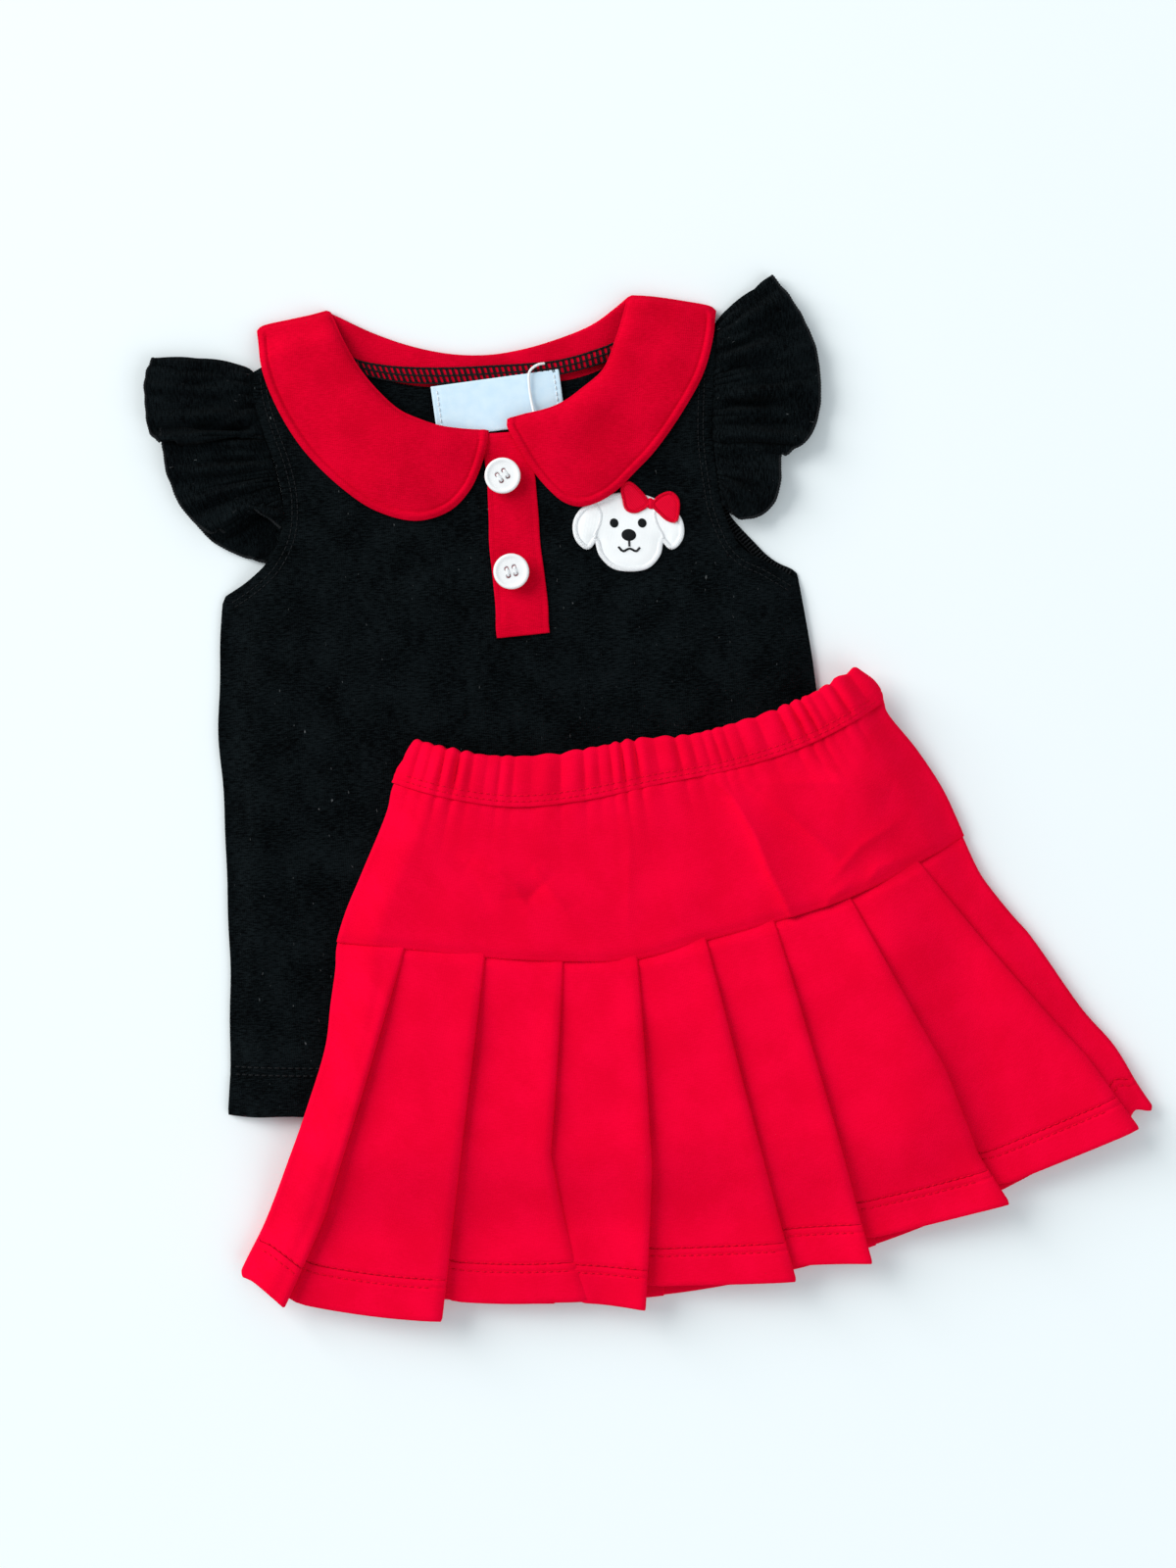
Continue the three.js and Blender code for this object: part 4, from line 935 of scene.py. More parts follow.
def lathe(profile, sides):
    """A profile of (radius, height), from axis to axis, turned about the z axis."""
    r, z = np.array(profile, float).T
    angle = np.arange(sides) * 2 * math.pi / sides
    level = np.tile(z[:, None], sides)
    rings = np.stack([np.outer(r, np.cos(angle)), np.outer(r, np.sin(angle)), level], 2)[r > 1e-6]
    points = np.vstack([[(0, 0, z[0])], rings.reshape(-1, 3), [(0, 0, z[-1])]])
    j = 1 + np.arange(sides)
    nxt = np.roll(j, -1)
    last = (len(rings) - 1) * sides
    faces = np.stack([0 * j, nxt, j], 1).tolist()
    for base in range(0, last, sides):
        faces += (base + np.stack([j, nxt, nxt + sides, j + sides], 1)).tolist()
    faces += np.stack([last + j, last + nxt, np.full(sides, len(points) - 1)], 1).tolist()
    return points, faces


def applied(made):
    """The piece with its modifiers made final."""
    graph = bpy.context.evaluated_depsgraph_get()
    mesh = bpy.data.meshes.new_from_object(made.evaluated_get(graph))
    made.modifiers.clear()
    made.data = mesh
    return made


HOLE = 1.6  # from a button's middle to each hole, along and across
BUTTON_LINE = [
    (0, 0), (5.6, 0), (6.7, 0.25), (7.3, 0.8), (7.5, 1.5), (7.45, 2.15), (7.2, 2.6), (6.75, 2.8), (6.3, 2.78),
    (5.9, 2.6), (5.5, 2.42), (4.9, 2.34), (2.0, 2.3), (0, 2.3),
]
HOLE_LINE = [(0, -1), (0.95, -1), (0.8, 1.2), (0.86, 1.7), (1.15, 2.1), (1.15, 4), (0, 4)]
for name, turn in (("button_upper", 30), ("button_lower", 10)):
    middle = box_centre(name)
    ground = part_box(name)[0].z / MM
    angle = math.radians(turn) + TOP_TURN
    line = curve(BUTTON_LINE, 46)
    line[0, 0] = line[-1, 0] = 0

    def placed(points, angle=angle, middle=middle, ground=ground):
        p = np.array(points, float).reshape(-1, 3)
        x, y = turned(p[:, 0], p[:, 1], angle)
        return np.stack([x + middle[0], y + middle[1], p[:, 2] + ground], 1) * MM

    disc = finish_piece(f"{name}_disc", *lathe(line, 80), placed, BUTTON)
    cutters = []
    for i in (-1, 1):
        for j in (-1, 1):
            p, f = lathe(HOLE_LINE, 20)
            cutters.append((p + (i * HOLE, j * HOLE, 0), f))
    tool = finish_piece("hole_tool", *joined(cutters), placed, BUTTON)
    cutter = disc.modifiers.new("holes", "BOOLEAN")
    cutter.operation, cutter.solver, cutter.object = "DIFFERENCE", "EXACT", tool
    bpy.context.view_layer.update()
    applied(disc)
    disc.data.set_sharp_from_angle(angle=math.radians(38))
    bpy.data.objects.remove(tool)
    dress(disc, name, "button_white", name)
    strands = []
    for side in (-1, 1):
        for k, shift in enumerate((-0.42, 0, 0.42)):
            t = np.linspace(-1, 1, 15)
            z = 2.62 + 0.1 * (k == 1) - 2.0 * np.clip(np.abs(t) - 0.62, 0, 1) ** 1.1 * 2
            line = np.stack([side * HOLE + shift * (1 - 0.35 * np.abs(t)), t * (HOLE + 0.25), z], 1)
            strands.append(tube(line, 0.27, 8))
        for end in (-HOLE, HOLE):
            strands.append(tube([(side * HOLE, end, 0.6), (side * HOLE, end, -0.9)], 0.5, 8))
    made = finish_piece(f"{name}_sewing", *joined(strands), placed, WHITE_THREAD)
    dress(made, name, "white_thread", f"{name}_thread")

# ------------------------------------------------------------ label and string

LABEL_SIZE = (54.0, 22.0)
LABEL_AT = (0.3, 76)
LABEL_TURN = math.radians(3.4)
LABEL_SEAMS = (-0.5 + 2.2 / LABEL_SIZE[0], 0.5 - 2.2 / LABEL_SIZE[0])  # where its ends are sewn, across it


def on_label(u, v):
    x, y = turned(u * LABEL_SIZE[0], v * LABEL_SIZE[1], LABEL_TURN)
    return x + LABEL_AT[0], y + LABEL_AT[1]


u, v = np.meshgrid(np.linspace(-0.5, 0.5, 61), np.linspace(-0.5, 0.5, 27), indexing="ij")
z = 3.75 + 0.22 * np.sin(u * 9 + 1) * (0.5 - v) + 0.35 * (0.5 - v) ** 2
z -= sum(0.18 * bell((u - row) * LABEL_SIZE[0], 0.7) for row in LABEL_SEAMS)
made = finish_piece("label_cloth", *thick(np.stack([*on_label(u, v), z], 2), 0.4), in_top, LABEL)
dress(made, "top", "label_satin", "neck_label")
v = np.linspace(-0.46, 0.48, 30)
z = 3.98 + 0.35 * (0.5 - v) ** 2
parts = [stitches(np.stack([*on_label(row, v), z], 1), 1.8, 2.4, 0.2, 0.3) for row in LABEL_SEAMS]
dress(finish_piece("label_stitch", *joined(parts), in_top, WHITE_THREAD), "top", "white_thread")

STRING_DIAMETER = 1.1
OVER = float(front_z(20, 50)) + STRING_DIAMETER / 2 + 0.4
ROUTE = [
    (21, 91.5, 3.9), (18, 91, 4.8), (14.6, 88.5, 5.2), (13.9, 83, 5.1), (14.2, 77, 5.2), (14.8, 72, 6.6),
    (15.3, 68, OVER - 0.4), (16, 63, OVER), (18, 57, OVER), (22, 51.5, OVER), (27, 47.5, OVER), (33, 45.5, OVER),
]
STRING_STEPS, STRING_SIDES = 144, 12
fine = curve(ROUTE, STRING_STEPS)
gone = np.linspace(0, length_of(fine), len(fine))
points, faces = tube(fine, STRING_DIAMETER / 2 * (1 + 0.05 * np.sin(gone * 5)), STRING_SIDES)
grain = np.column_stack([np.repeat(gone, STRING_SIDES), np.tile(np.arange(STRING_SIDES) * 0.3, len(fine))])
string = finish_piece("tag_string_cord", points, faces, in_top, WHITE_THREAD, grain)
dress(string, "top", "white_thread", "tag_string")
t = np.linspace(0, 2 * math.pi, 60)
knot = np.stack([np.sin(t) + 2 * np.sin(2 * t), np.cos(t) - 2 * np.cos(2 * t), -np.sin(3 * t)], 1) * 0.42
knot += np.array(ROUTE[-1]) + (1.0, -0.2, 0.3)
tied = finish_piece("tag_string_knot", *tube(knot, 0.5, 8), in_top, WHITE_THREAD)
dress(tied, "top", "white_thread")

# -------------------------------------------------------------- the puppy motif

PATCH_AT = (50.7, 20.3)
PATCH_HALF = (22.5, 15.75)
PATCH_TURN = math.radians(-2)


def patch_points(points):
    p = np.array(points, float).reshape(-1, 2) * PATCH_HALF
    x, y = turned(p[:, 0], p[:, 1], PATCH_TURN)
    return np.stack(lie(x + PATCH_AT[0], y + PATCH_AT[1]), 1)


def satin(line, width, pitch, radius, lift, closed=True, arch=0.35, ground=front_z):
    """Close threads laid across a line, as in satin stitch."""
    line = np.asarray(line, float)
    if closed:
        line = np.vstack([line, line[:1]])
    n = int(length_of(line) / pitch)
    p = spaced(line, n)
    way = unit(np.gradient(p, axis=0))
    across = sideways(way)
    base = ground(p[:, 0], p[:, 1])
    parts = []
    for k in range(n):
        s = np.linspace(-0.5, 0.5, 6)
        xy = p[k] + across[k] * (s * width)[:, None] + way[k] * (0.25 * pitch * s)[:, None]
        z = base[k] + lift + arch * (1 - (2 * s) ** 2)
        parts.append(tube(np.column_stack([xy, z]), radius, 5))
    return joined(parts)


# The face is drawn in halves of its own width and height; the right half of its outline, from the chin up.
HEAD = [
    (0, -1), (0.3, -0.93), (0.52, -0.62), (0.62, -0.2), (0.78, -0.42), (0.95, -0.2), (0.97, 0.25), (0.78, 0.62),
    (0.5, 0.82), (0.25, 0.94),
]
EAR = [(0.6, 0.76), (0.5, 0.5), (0.53, 0.2), (0.62, -0.08), (0.63, -0.2)]
MOUTH = [[(0, -0.26), (0, -0.42)], [(-0.2, -0.42), (-0.12, -0.53), (0, -0.46), (0.12, -0.53), (0.2, -0.42)]]
EYES = (("l", "left", -0.26), ("r", "right", 0.26))
MOTIF_PLY = 0.12
head_line = patch_points(curve(HEAD + [(0, 0.97)] + [(-a, b) for a, b in HEAD[:0:-1]], 190, closed=True))
xy, triangles = filled(head_line, 1.2, (0.5, 1.0, 1.6, 2.2))
edge = distance(xy, np.vstack([head_line, head_line[:1]]))
low = front_z(xy[:, 0], xy[:, 1]) + MOTIF_PLY
face = slab(xy, triangles, low + 0.5 + 0.5 * ease(edge, 4), low, 0.2, 3)
made = finish_piece("patch_cloth", *face, in_top, PATCH_WHITE)
dress(made, "top", "patch_white", "patch_face")
parts = [satin(head_line, 2.0, 0.42, 0.27, 0.5)]
for side in (-1, 1):
    ear = [(side * a, b) for a, b in EAR]
    parts.append(satin(patch_points(curve(ear, 40)), 1.1, 0.42, 0.22, 1.0, False, 0.2))
dress(finish_piece("patch_outline", *joined(parts), in_top, WHITE_THREAD), "top", "white_thread")
parts = [satin(patch_points(curve(stroke, 20)), 0.8, 0.4, 0.2, 1.15, False, 0.15) for stroke in MOUTH]
dress(finish_piece("patch_mouth", *joined(parts), in_top, BLACK_THREAD), "top", "black_thread")


def pad(name, outline, lift, height, material, slot, node, pitch=0.5):
    """A filled satin shape: a low dome under threads that run across it."""
    xy, triangles = filled(outline, 0.8, (0.3, 0.7))
    edge = distance(xy, np.vstack([outline, outline[:1]]))
    low = front_z(xy[:, 0], xy[:, 1]) + lift
    top = low + 0.15 + height * ease(edge, 1.4) + 0.06 * np.sin(xy[:, 0] * 2 * math.pi / pitch)
    made = finish_piece(name, *slab(xy, triangles, top, low, 0.15, 3), in_top, material)
    dress(made, "top", slot, node)


def oval(x, y, rx, ry, count=40):
    angle = np.arange(count) * 2 * math.pi / count
    return patch_points(np.stack([x + rx * np.cos(angle), y + ry * np.sin(angle)], 1))


for letter, name, x in EYES:
    eye = oval(x, 0.22, 0.075, 0.115)
    pad(f"patch_eye_{letter}", eye, 1.1, 0.4, BLACK_THREAD, "black_thread", f"patch_eye_{name}")
pad("patch_nose_pad", oval(0, -0.1, 0.13, 0.15), 1.1, 0.5, BLACK_THREAD, "black_thread", "patch_nose")
BOW_AT = (0.44, 0.74)
BOW_SLOPE = 0.35
BOW_LOOP = [
    (0.05, 0.03), (0.18, 0.26), (0.38, 0.42), (0.5, 0.3), (0.5, -0.02), (0.44, -0.32), (0.3, -0.33),
    (0.16, -0.2), (0.05, -0.06),
]
for name, side in (("left", -1), ("right", 1)):
    loop = [(BOW_AT[0] + side * a, BOW_AT[1] + b - side * a * BOW_SLOPE) for a, b in BOW_LOOP]
    line = patch_points(curve(loop, 70, closed=True))
    pad(f"patch_bow_{name[0]}", line, 1.1, 0.5, RED_THREAD, "red_thread", f"patch_bow_{name}", 0.6)
    made = finish_piece(f"patch_bow_edge_{name[0]}", *satin(line, 1.1, 0.42, 0.22, 1.45), in_top, RED_THREAD)
    dress(made, "top", "red_thread")
pad("patch_bow_middle", oval(*BOW_AT, 0.075, 0.14), 1.3, 0.8, RED_THREAD, "red_thread", "patch_bow_knot")

# ------------------------------------------------------------ the sleeve ruffles
# Each row: where the cloth leaves the armhole (x, y), whether there it is at the front (1) or the
# back (0), and its free edge (x, y, z). They run from the front's lower end over the shoulder.

RUFFLES = {
    "left": [
        (-92.4, 33.5, 1, -94.5, 31.0, 6.6), (-92.8, 35.5, 1, -100.5, 36.8, 5.8), (-93.0, 38, 1, -107.4, 41.0, 7.6),
        (-93.2, 40, 1, -113.0, 39.5, 6.2), (-93.4, 42, 1, -117.0, 34.0, 5.0), (-93.7, 44.5, 1, -121.5, 31.5, 5.6),
        (-94.0, 47, 1, -127.0, 33.6, 7.2), (-94.4, 50, 1, -132.5, 39.5, 6.6), (-94.9, 54, 1, -137.0, 47.5, 5.2),
        (-95.6, 58, 1, -139.8, 57.9, 6.2), (-97.0, 64, 1, -140.9, 67.0, 5.4), (-98.0, 67.6, 1, -141.2, 72.0, 5.2),
        (-98.4, 69.0, 1, -141.6, 76.5, 5.7), (-98.5, 69.4, 1, -141.4, 73.5, 7.5), (-98.6, 69.8, 1, -140.9, 70.8, 8.3),
        (-98.9, 70.8, 1, -142.8, 71.8, 8.6), (-99.6, 75, 1, -145.8, 75.5, 7.4), (-100.2, 80, 1, -146.5, 84.0, 6.2),
        (-100.6, 85, 1, -146.5, 93.0, 7.4), (-101.2, 91, 1, -145.2, 100.8, 6.0), (-101.4, 96, 1, -143.2, 104.8, 5.6),
        (-101.6, 97.6, 0.5, -142.6, 106.2, 3.6), (-101.4, 96, 0, -143.0, 104.4, 1.6),
        (-101.0, 91, 0, -144.2, 97.0, 1.0), (-100.4, 82, 0, -143.8, 88.0, 1.4), (-99.6, 74, 0, -142.0, 77.0, 0.9),
        (-98.0, 66, 0, -139.6, 66.0, 1.4), (-96.0, 58, 0, -138.0, 56.0, 0.9), (-94.6, 50, 0, -134.5, 44.5, 1.5),
        (-93.8, 44, 0, -129.0, 34.6, 1.0), (-94.0, 38, 0, -121.3, 26.6, 2.0), (-94.5, 33, 0, -111.9, 21.2, 1.2),
        (-96.5, 25, 0, -104.0, 18.3, 1.6), (-99.0, 20, 0, -101.2, 17.4, 1.6),
    ],
    "right": [
        (90.6, 26, 1, 93.4, 24.4, 6.4), (90.3, 29, 1, 97.0, 20.6, 5.8), (90.1, 32, 1, 103.0, 20.0, 7.2),
        (89.9, 35, 1, 108.5, 22.3, 6.0), (89.6, 38.5, 1, 112.5, 26.4, 5.0), (89.3, 42, 1, 115.2, 34.0, 6.6),
        (89.0, 46, 1, 116.0, 41.5, 5.4), (88.7, 50, 1, 117.2, 46.7, 4.4), (88.7, 53.5, 1, 122.5, 47.2, 6.8),
        (88.8, 57, 1, 127.7, 50.6, 7.6), (89.0, 62, 1, 132.0, 57.0, 6.2), (89.2, 67, 1, 134.4, 65.0, 5.0),
        (89.7, 72, 1, 135.2, 73.5, 6.8), (90.4, 78, 1, 135.2, 82.0, 5.2), (91.2, 84, 1, 133.7, 92.0, 6.8),
        (92.0, 90, 1, 130.6, 100.6, 5.2), (92.8, 95.5, 1, 126.4, 108.6, 6.6), (93.4, 99.5, 1, 121.6, 116.6, 5.4),
        (93.8, 102, 0.5, 119.4, 119.9, 3.6), (93.6, 100, 0, 121.0, 116.4, 1.6),
        (93.0, 95, 0, 125.4, 107.4, 1.1), (92.0, 87, 0, 130.0, 97.0, 1.5), (91.0, 79, 0, 132.6, 86.0, 0.9),
        (90.0, 70, 0, 133.0, 74.0, 1.5), (89.3, 61, 0, 131.0, 62.0, 0.9), (89.0, 53, 0, 124.0, 53.0, 1.6),
        (89.4, 45, 0, 113.5, 44.0, 0.9), (90.0, 37, 0, 109.0, 35.0, 1.7), (91.0, 30, 0, 102.0, 27.0, 1.4),
        (93.5, 23, 0, 96.0, 22.0, 1.7),
    ],
}
GATHERS = 38  # small gathers along the whole armhole, on each side
RUFFLE_PLY = 0.7
SHOULDER_BULGE = 2.2  # how far the way over the shoulder curves up, between armhole and tip
EDGE_STEP, EDGE_PITCH = 0.3, 1.25  # the overlocked edge: its points, and its stitches


def ruffle(name, side, seed):
    rows = np.array(RUFFLES[name], float)
    root_z = rows[:, 2] * (front_z(rows[:, 0], rows[:, 1]) - 1.2) + (1 - rows[:, 2]) * 1.3
    path = curve(np.column_stack([rows[:, :2], root_z, rows[:, 3:], rows[:, 2]]), 340)
    u = np.linspace(0, 1, len(path))[:, None]
    v = (np.linspace(0, 1, 44) ** 0.9)[None, :]
    grid = path[:, None, :3] + (path[:, None, 3:6] - path[:, None, :3]) * v[..., None]
    way = unit(path[:, None, 3:5] - path[:, None, :2])
    over = SHOULDER_BULGE * np.exp(-(((path[:, None, 6] - 0.5) / 0.35) ** 2)) * np.sin(math.pi * v**0.7)
    grid[..., 0] -= side * way[..., 1] * over
    grid[..., 1] += side * way[..., 0] * over
    facing = 2 * path[:, None, 6] - 1
    reach = np.linalg.norm(path[:, 3:5] - path[:, :2], axis=1)[:, None]
    small = ease(reach, 14)
    grid[..., 2] += facing * small * (1.5 * ease(v, 0.1) - 1.1 * v + 0.7 * np.sin(math.pi * v))
    phase = u * GATHERS + 0.7 * ripple(u * 100, v * 6, 12, seed)
    hills = np.abs(np.sin(math.pi * phase)) - 0.6
    strength = 0.75 + 0.35 * ripple(u * 100, 0 * u, 9, seed + 1)
    broad = ripple(u * 100, v * 3, 3.6, seed + 2)
    push = 2.5 * hills * strength * ease(v, 0.05) * np.exp(-v / 0.36)
    push += 1.35 * broad * ease(v, 0.3) * (1.15 - 0.5 * v) + 0.3 * hills * ease(v, 0.1)
    out = normals(grid)
    flip = np.sign(out[..., 2] * facing + 1e-6)
    grid += out * (flip * small * push)[..., None]
    grid[..., 2] = np.maximum(grid[..., 2], RUFFLE_PLY / 2 + 0.05)
    points, faces = thick(grid, RUFFLE_PLY)
    length = length_of(path[:, 3:6])
    cloth = np.stack([np.broadcast_to(c, grid.shape[:2]) for c in (u * length, v * reach)], 2).reshape(-1, 2)
    grain = np.vstack([cloth, cloth, points[2 * len(cloth):, :2]])
    made = finish_piece(f"ruffle_{name}", points, faces, in_top, JERSEY, grain)
    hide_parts(*(f"sleeve_{name}_{part}" for part in ("head_front", "head_back", "front", "back")))
    bend(made, f"sleeve_{name}_lift")
    edge = spaced(grid[:, -1], int(length_of(grid[:, -1]) / EDGE_STEP))
    knots = 0.62 * (1 + 0.2 * np.sin(np.arange(len(edge)) * EDGE_STEP / EDGE_PITCH * 2 * math.pi))
    edge[:, 2] = np.maximum(edge[:, 2], 0.8)
    made = finish_piece(f"ruffle_edge_{name}", *tube(edge, knots, 8), in_top, BLACK_THREAD)
    bend(made, f"sleeve_{name}_lift")


ruffle("left", -1, 51)
ruffle("right", 1, 61)

# The overlocked edge of the back's armhole, seen past the front's.
seen = inward_of(curve(BACK_ARM[1:-1], 60), 2.0, 1)
bars = satin(seen, 4.0, 1.5, 0.42, 0, closed=False, arch=0.3, ground=lambda x, y: 1.25 + 0 * x)
chain = stitches(np.column_stack([inward_of(seen, 2.0, 1), np.full(len(seen), 1.5)]), 1.7, 1.9, 0.34, 0.3)
dress(finish_piece("armhole_overlock", *joined([bars, chain]), in_top, BLACK_THREAD), "top", "black_thread")

# -------------------------------------------------------------------- the skirt
# Everything is given as an angle (degrees in these lists) and a distance from the fan's point.

LEFT_SIDE = [
    (200, -25.4), (206, -25.5), (217, -26.3), (226, -26.6), (234, -26.4), (261, -26.9), (279, -27.2),
    (296, -27.0), (304, -26.6), (320, -26.1), (336, -25.6), (362, -25.6), (388, -25.8), (414, -26.1),
    (432, -26.5), (450, -26.8),
]
RIGHT_SIDE = [
    (200, 27.2), (208, 27.4), (216, 27.9), (223, 27.9), (227, 27.5), (248, 27.7), (268, 27.5), (286, 26.8),
    (304, 26.1), (313, 25.9), (334, 26.1), (344, 26.3), (385, 26.3), (405, 26.6), (426, 26.4), (450, 26.4),
]
BAND_TOP = [
    (-27.5, 206), (-25.5, 206), (-17.5, 206), (-10.9, 204), (-4.3, 201), (0.8, 200), (6.9, 203), (11.5, 204),
    (20.9, 207), (28.5, 208),
]
BAND_STITCH = [
    (-28, 224), (-20, 224.4), (-13.6, 224), (-6.7, 221), (1.6, 218), (10, 220), (18.5, 223), (28, 225),
]
YOKE_SEAM = [
    (-28, 297), (-27, 296), (-21.8, 291), (-15.2, 289), (-8.7, 289), (-2.6, 290), (3.2, 287), (9.1, 287),
    (15.6, 289), (22.1, 290), (26.7, 292), (28, 292),
]
BAND_R, BAND_DEEP = 206, 18  # the band's own distance from the fan's point, and its depth
SIDE_ROUND = 1.9  # how far in from the outline the side folds begin to turn
FOLD_TURN = np.linspace(0, math.pi, 11)[1:-1]  # angles about a side fold
TURN_COLUMNS = len(FOLD_TURN)
FRONT_COLUMNS, BACK_COLUMNS = 300, 110


def along(points):
    """A smooth function through (where, value) pairs."""
    line = curve(points, 200)
    return lambda at: np.interp(at, line[:, 0], line[:, 1])


def by_angle(points):
    smooth = along(points)
    return lambda angle: smooth(np.degrees(angle))


def as_angle(points):
    smooth = along(points)
    return lambda r: np.radians(smooth(r))


left_side, right_side = as_angle(LEFT_SIDE), as_angle(RIGHT_SIDE)
band_top, band_stitch, yoke_seam = by_angle(BAND_TOP), by_angle(BAND_STITCH), by_angle(YOKE_SEAM)


def down_band(angle, t):
    return band_top(angle) + (band_stitch(angle) - band_top(angle)) * t


def drape(x, y):
    """How high the skirt lies: on the top, or on the floor beside it."""
    px, py = turned(x, y, SKIRT_TURN)
    shift = SKIRT_AT - TOP_AT
    px, py = turned(px + shift[0], py + shift[1], -TOP_TURN)
    cy = py - SLANT * px
    beside = np.abs(px) - (CHEST / 2 + (HEM_WIDTH - CHEST) / 2 * np.clip(-cy / BODY_LENGTH, 0, 1.1))
    below = -BODY_LENGTH - HEM_SAG - cy
    outside = np.hypot(np.maximum(0, beside), np.maximum(0, below))
    return (FRONT_TOP + GAP) * (1 - ease(outside - 10, 40))


def fan(angle, r, z):
    x, y = r * np.sin(angle), -r * np.cos(angle)
    return np.stack([x, y, z + drape(x, y)], -1)


def air(angle, r):
    side = np.minimum(angle - left_side(r), right_side(r) - angle) * r
    return SKIRT_LOFT * ease(side, 17)


def folded(a, b):
    """From a to b as a half circle goes: the height of a side fold."""
    return (a + b) / 2 + (a - b) / 2 * np.cos(FOLD_TURN)


def around(r, front, back):
    """One turn about the skirt: angles, heights, and the way out of it, at radius r."""
    side = SIDE_ROUND / r
    low, high = left_side(r) + side, right_side(r) - side
    af, ab = np.linspace(low, high, FRONT_COLUMNS), np.linspace(high, low, BACK_COLUMNS)
    zf, zb = front(af), back(ab)
    s, c = np.sin(FOLD_TURN), np.cos(FOLD_TURN)
    angle = np.concatenate([af, high + side * s, ab, low - side * s])
    z = np.concatenate([zf, folded(zf[-1], zb[0]), zb, folded(zb[-1], zf[0])])
    level = [np.stack([0 * a, 0 * a + way], 1) for a, way in ((af, 1), (ab, -1))]
    out = np.concatenate([level[0], np.stack([s, c], 1), level[1], np.stack([-s, -c], 1)])
    return angle, z, out


def ruching(angle):
    """The elastic's ridges: hills with narrow valleys, some strong and some faint."""
    at = angle * 210
    place = at / 6.6 + 0.55 * ripple(at, 0 * at, 34, 71)
    strength = np.clip(0.72 + 0.4 * ripple(at, 0 * at, 22, 72), 0.2, 1.25)
    return (np.abs(np.sin(math.pi * place)) - 0.55) * strength


# The waistband: one strip folded over the elastic and sewn down, so it is open at its lower edge.
columns = []
STEPS_OUT, STEPS_IN, STEPS_OVER = 18, 6, 5
TURNED_AT = 0.07  # the share of the band's depth in which it turns over
sections = (
    [(t, -1.0) for t in np.linspace(1.05, TURNED_AT, STEPS_IN)]
    + [(TURNED_AT * (1 - math.sin(p)), -math.cos(p)) for p in np.linspace(0, math.pi, STEPS_OVER + 2)[1:-1]]
    + [(t, 1.0) for t in np.linspace(TURNED_AT, 1.09, STEPS_OUT)]
)
BACK_Z = 1.55
BAND_FLOOR = FRONT_FLOOR + 1.5


def band_out(angle, t):
    """Height of the waistband's outer face over its middle."""
    puff = np.sin(math.pi * np.clip(t, 0, 1)) ** 0.7
    dips = sum(0.3 * bell((t - at) * BAND_DEEP, 0.7) for at in (0.87, 1))
    return 1.0 + 0.5 * puff + ruching(angle) * (0.5 + 1.7 * puff * (1 - 0.2 * t)) - dips


def around_band(t):
    r = BAND_R + BAND_DEEP * t
    return around(r, lambda a: BAND_FLOOR + air(a, r), lambda a: BACK_Z + 0 * a)


for t, face in sections:
    angle, z, out = around_band(t)
    ridges = ruching(angle)
    r = down_band(angle, t) - 1.5 * ridges * max(0, 1 - abs(t) / 0.3)
    h = band_out(angle, t) * face if face > 0 else 0.85 * face + 0.25 * ridges
    h = np.where(out[:, 1] < -0.5, np.minimum(h, 1.05), h)
    columns.append(fan(angle + out[:, 0] * h / r, r, np.maximum(z + out[:, 1] * h, 0.4)))
points, faces = thick(np.stack(columns, 1), 0.6, closed=True)


def fan_grain(points):
    r = np.hypot(points[:, 0], points[:, 1])
    return np.column_stack([np.arctan2(points[:, 0], -points[:, 1]) * r, r])


made = finish_piece("waistband", points, faces, in_skirt, SKIRT_RED, fan_grain(points))
dress(made, "skirt", "skirt_red", "waistband_front", "waistband_back")

columns = []
for t in np.linspace(0.14, 0.8, 8):
    angle, z, _ = around_band(t)
    columns.append(fan(angle, down_band(angle, t), z + 0.1 * ruching(angle)))
points, faces = thick(np.stack(columns, 1), 0.7, closed=True)
made = finish_piece("elastic", points, faces, in_skirt, ELASTIC, fan_grain(points))
dress(made, "skirt", "elastic_white", "waist_elastic")

# The yoke.
YOKE_FOLDS = [
    (((25, -216), (36, -228), (43, -246), (47, -264), (54, -284), (58, -298)), 4.2, 10, 1.5),
    (((-76, -238), (-64, -246), (-58, -252), (-54, -262)), 1.9, 3, 5),
    (((-66, -256), (-54, -258), (-42, -250)), -1.5, 4, 5),
    (((-50, -244), (-44, -256), (-38, -266)), 1.4, 5, 3),
    (((-84, -232), (-74, -246), (-70, -262)), -0.9, 7, 6),
    (((-6, -230), (-10, -252), (-15, -278)), 1.1, 9, 7),
    (((44, -224), (60, -227), (80, -230), (102, -242)), 1.7, 4, 8),
    (((46, -228), (60, -242), (78, -264)), 2.4, 6, 2.0),
    (((66, -214), (82, -228), (104, -238)), 2.0, 4, 6),
    (((72, -270), (86, -258), (104, -250)), 1.7, 5, 3),
    (((64, -288), (70, -278), (80, -272)), 1.4, 3, 2.4),
    (((86, -274), (92, -268), (102, -266)), 1.3, 3, 2.4),
]
YOKE_R, YOKE_DEEP = 222, 68


def down_yoke(angle, t):
    return band_stitch(angle) + (yoke_seam(angle) - band_stitch(angle)) * t


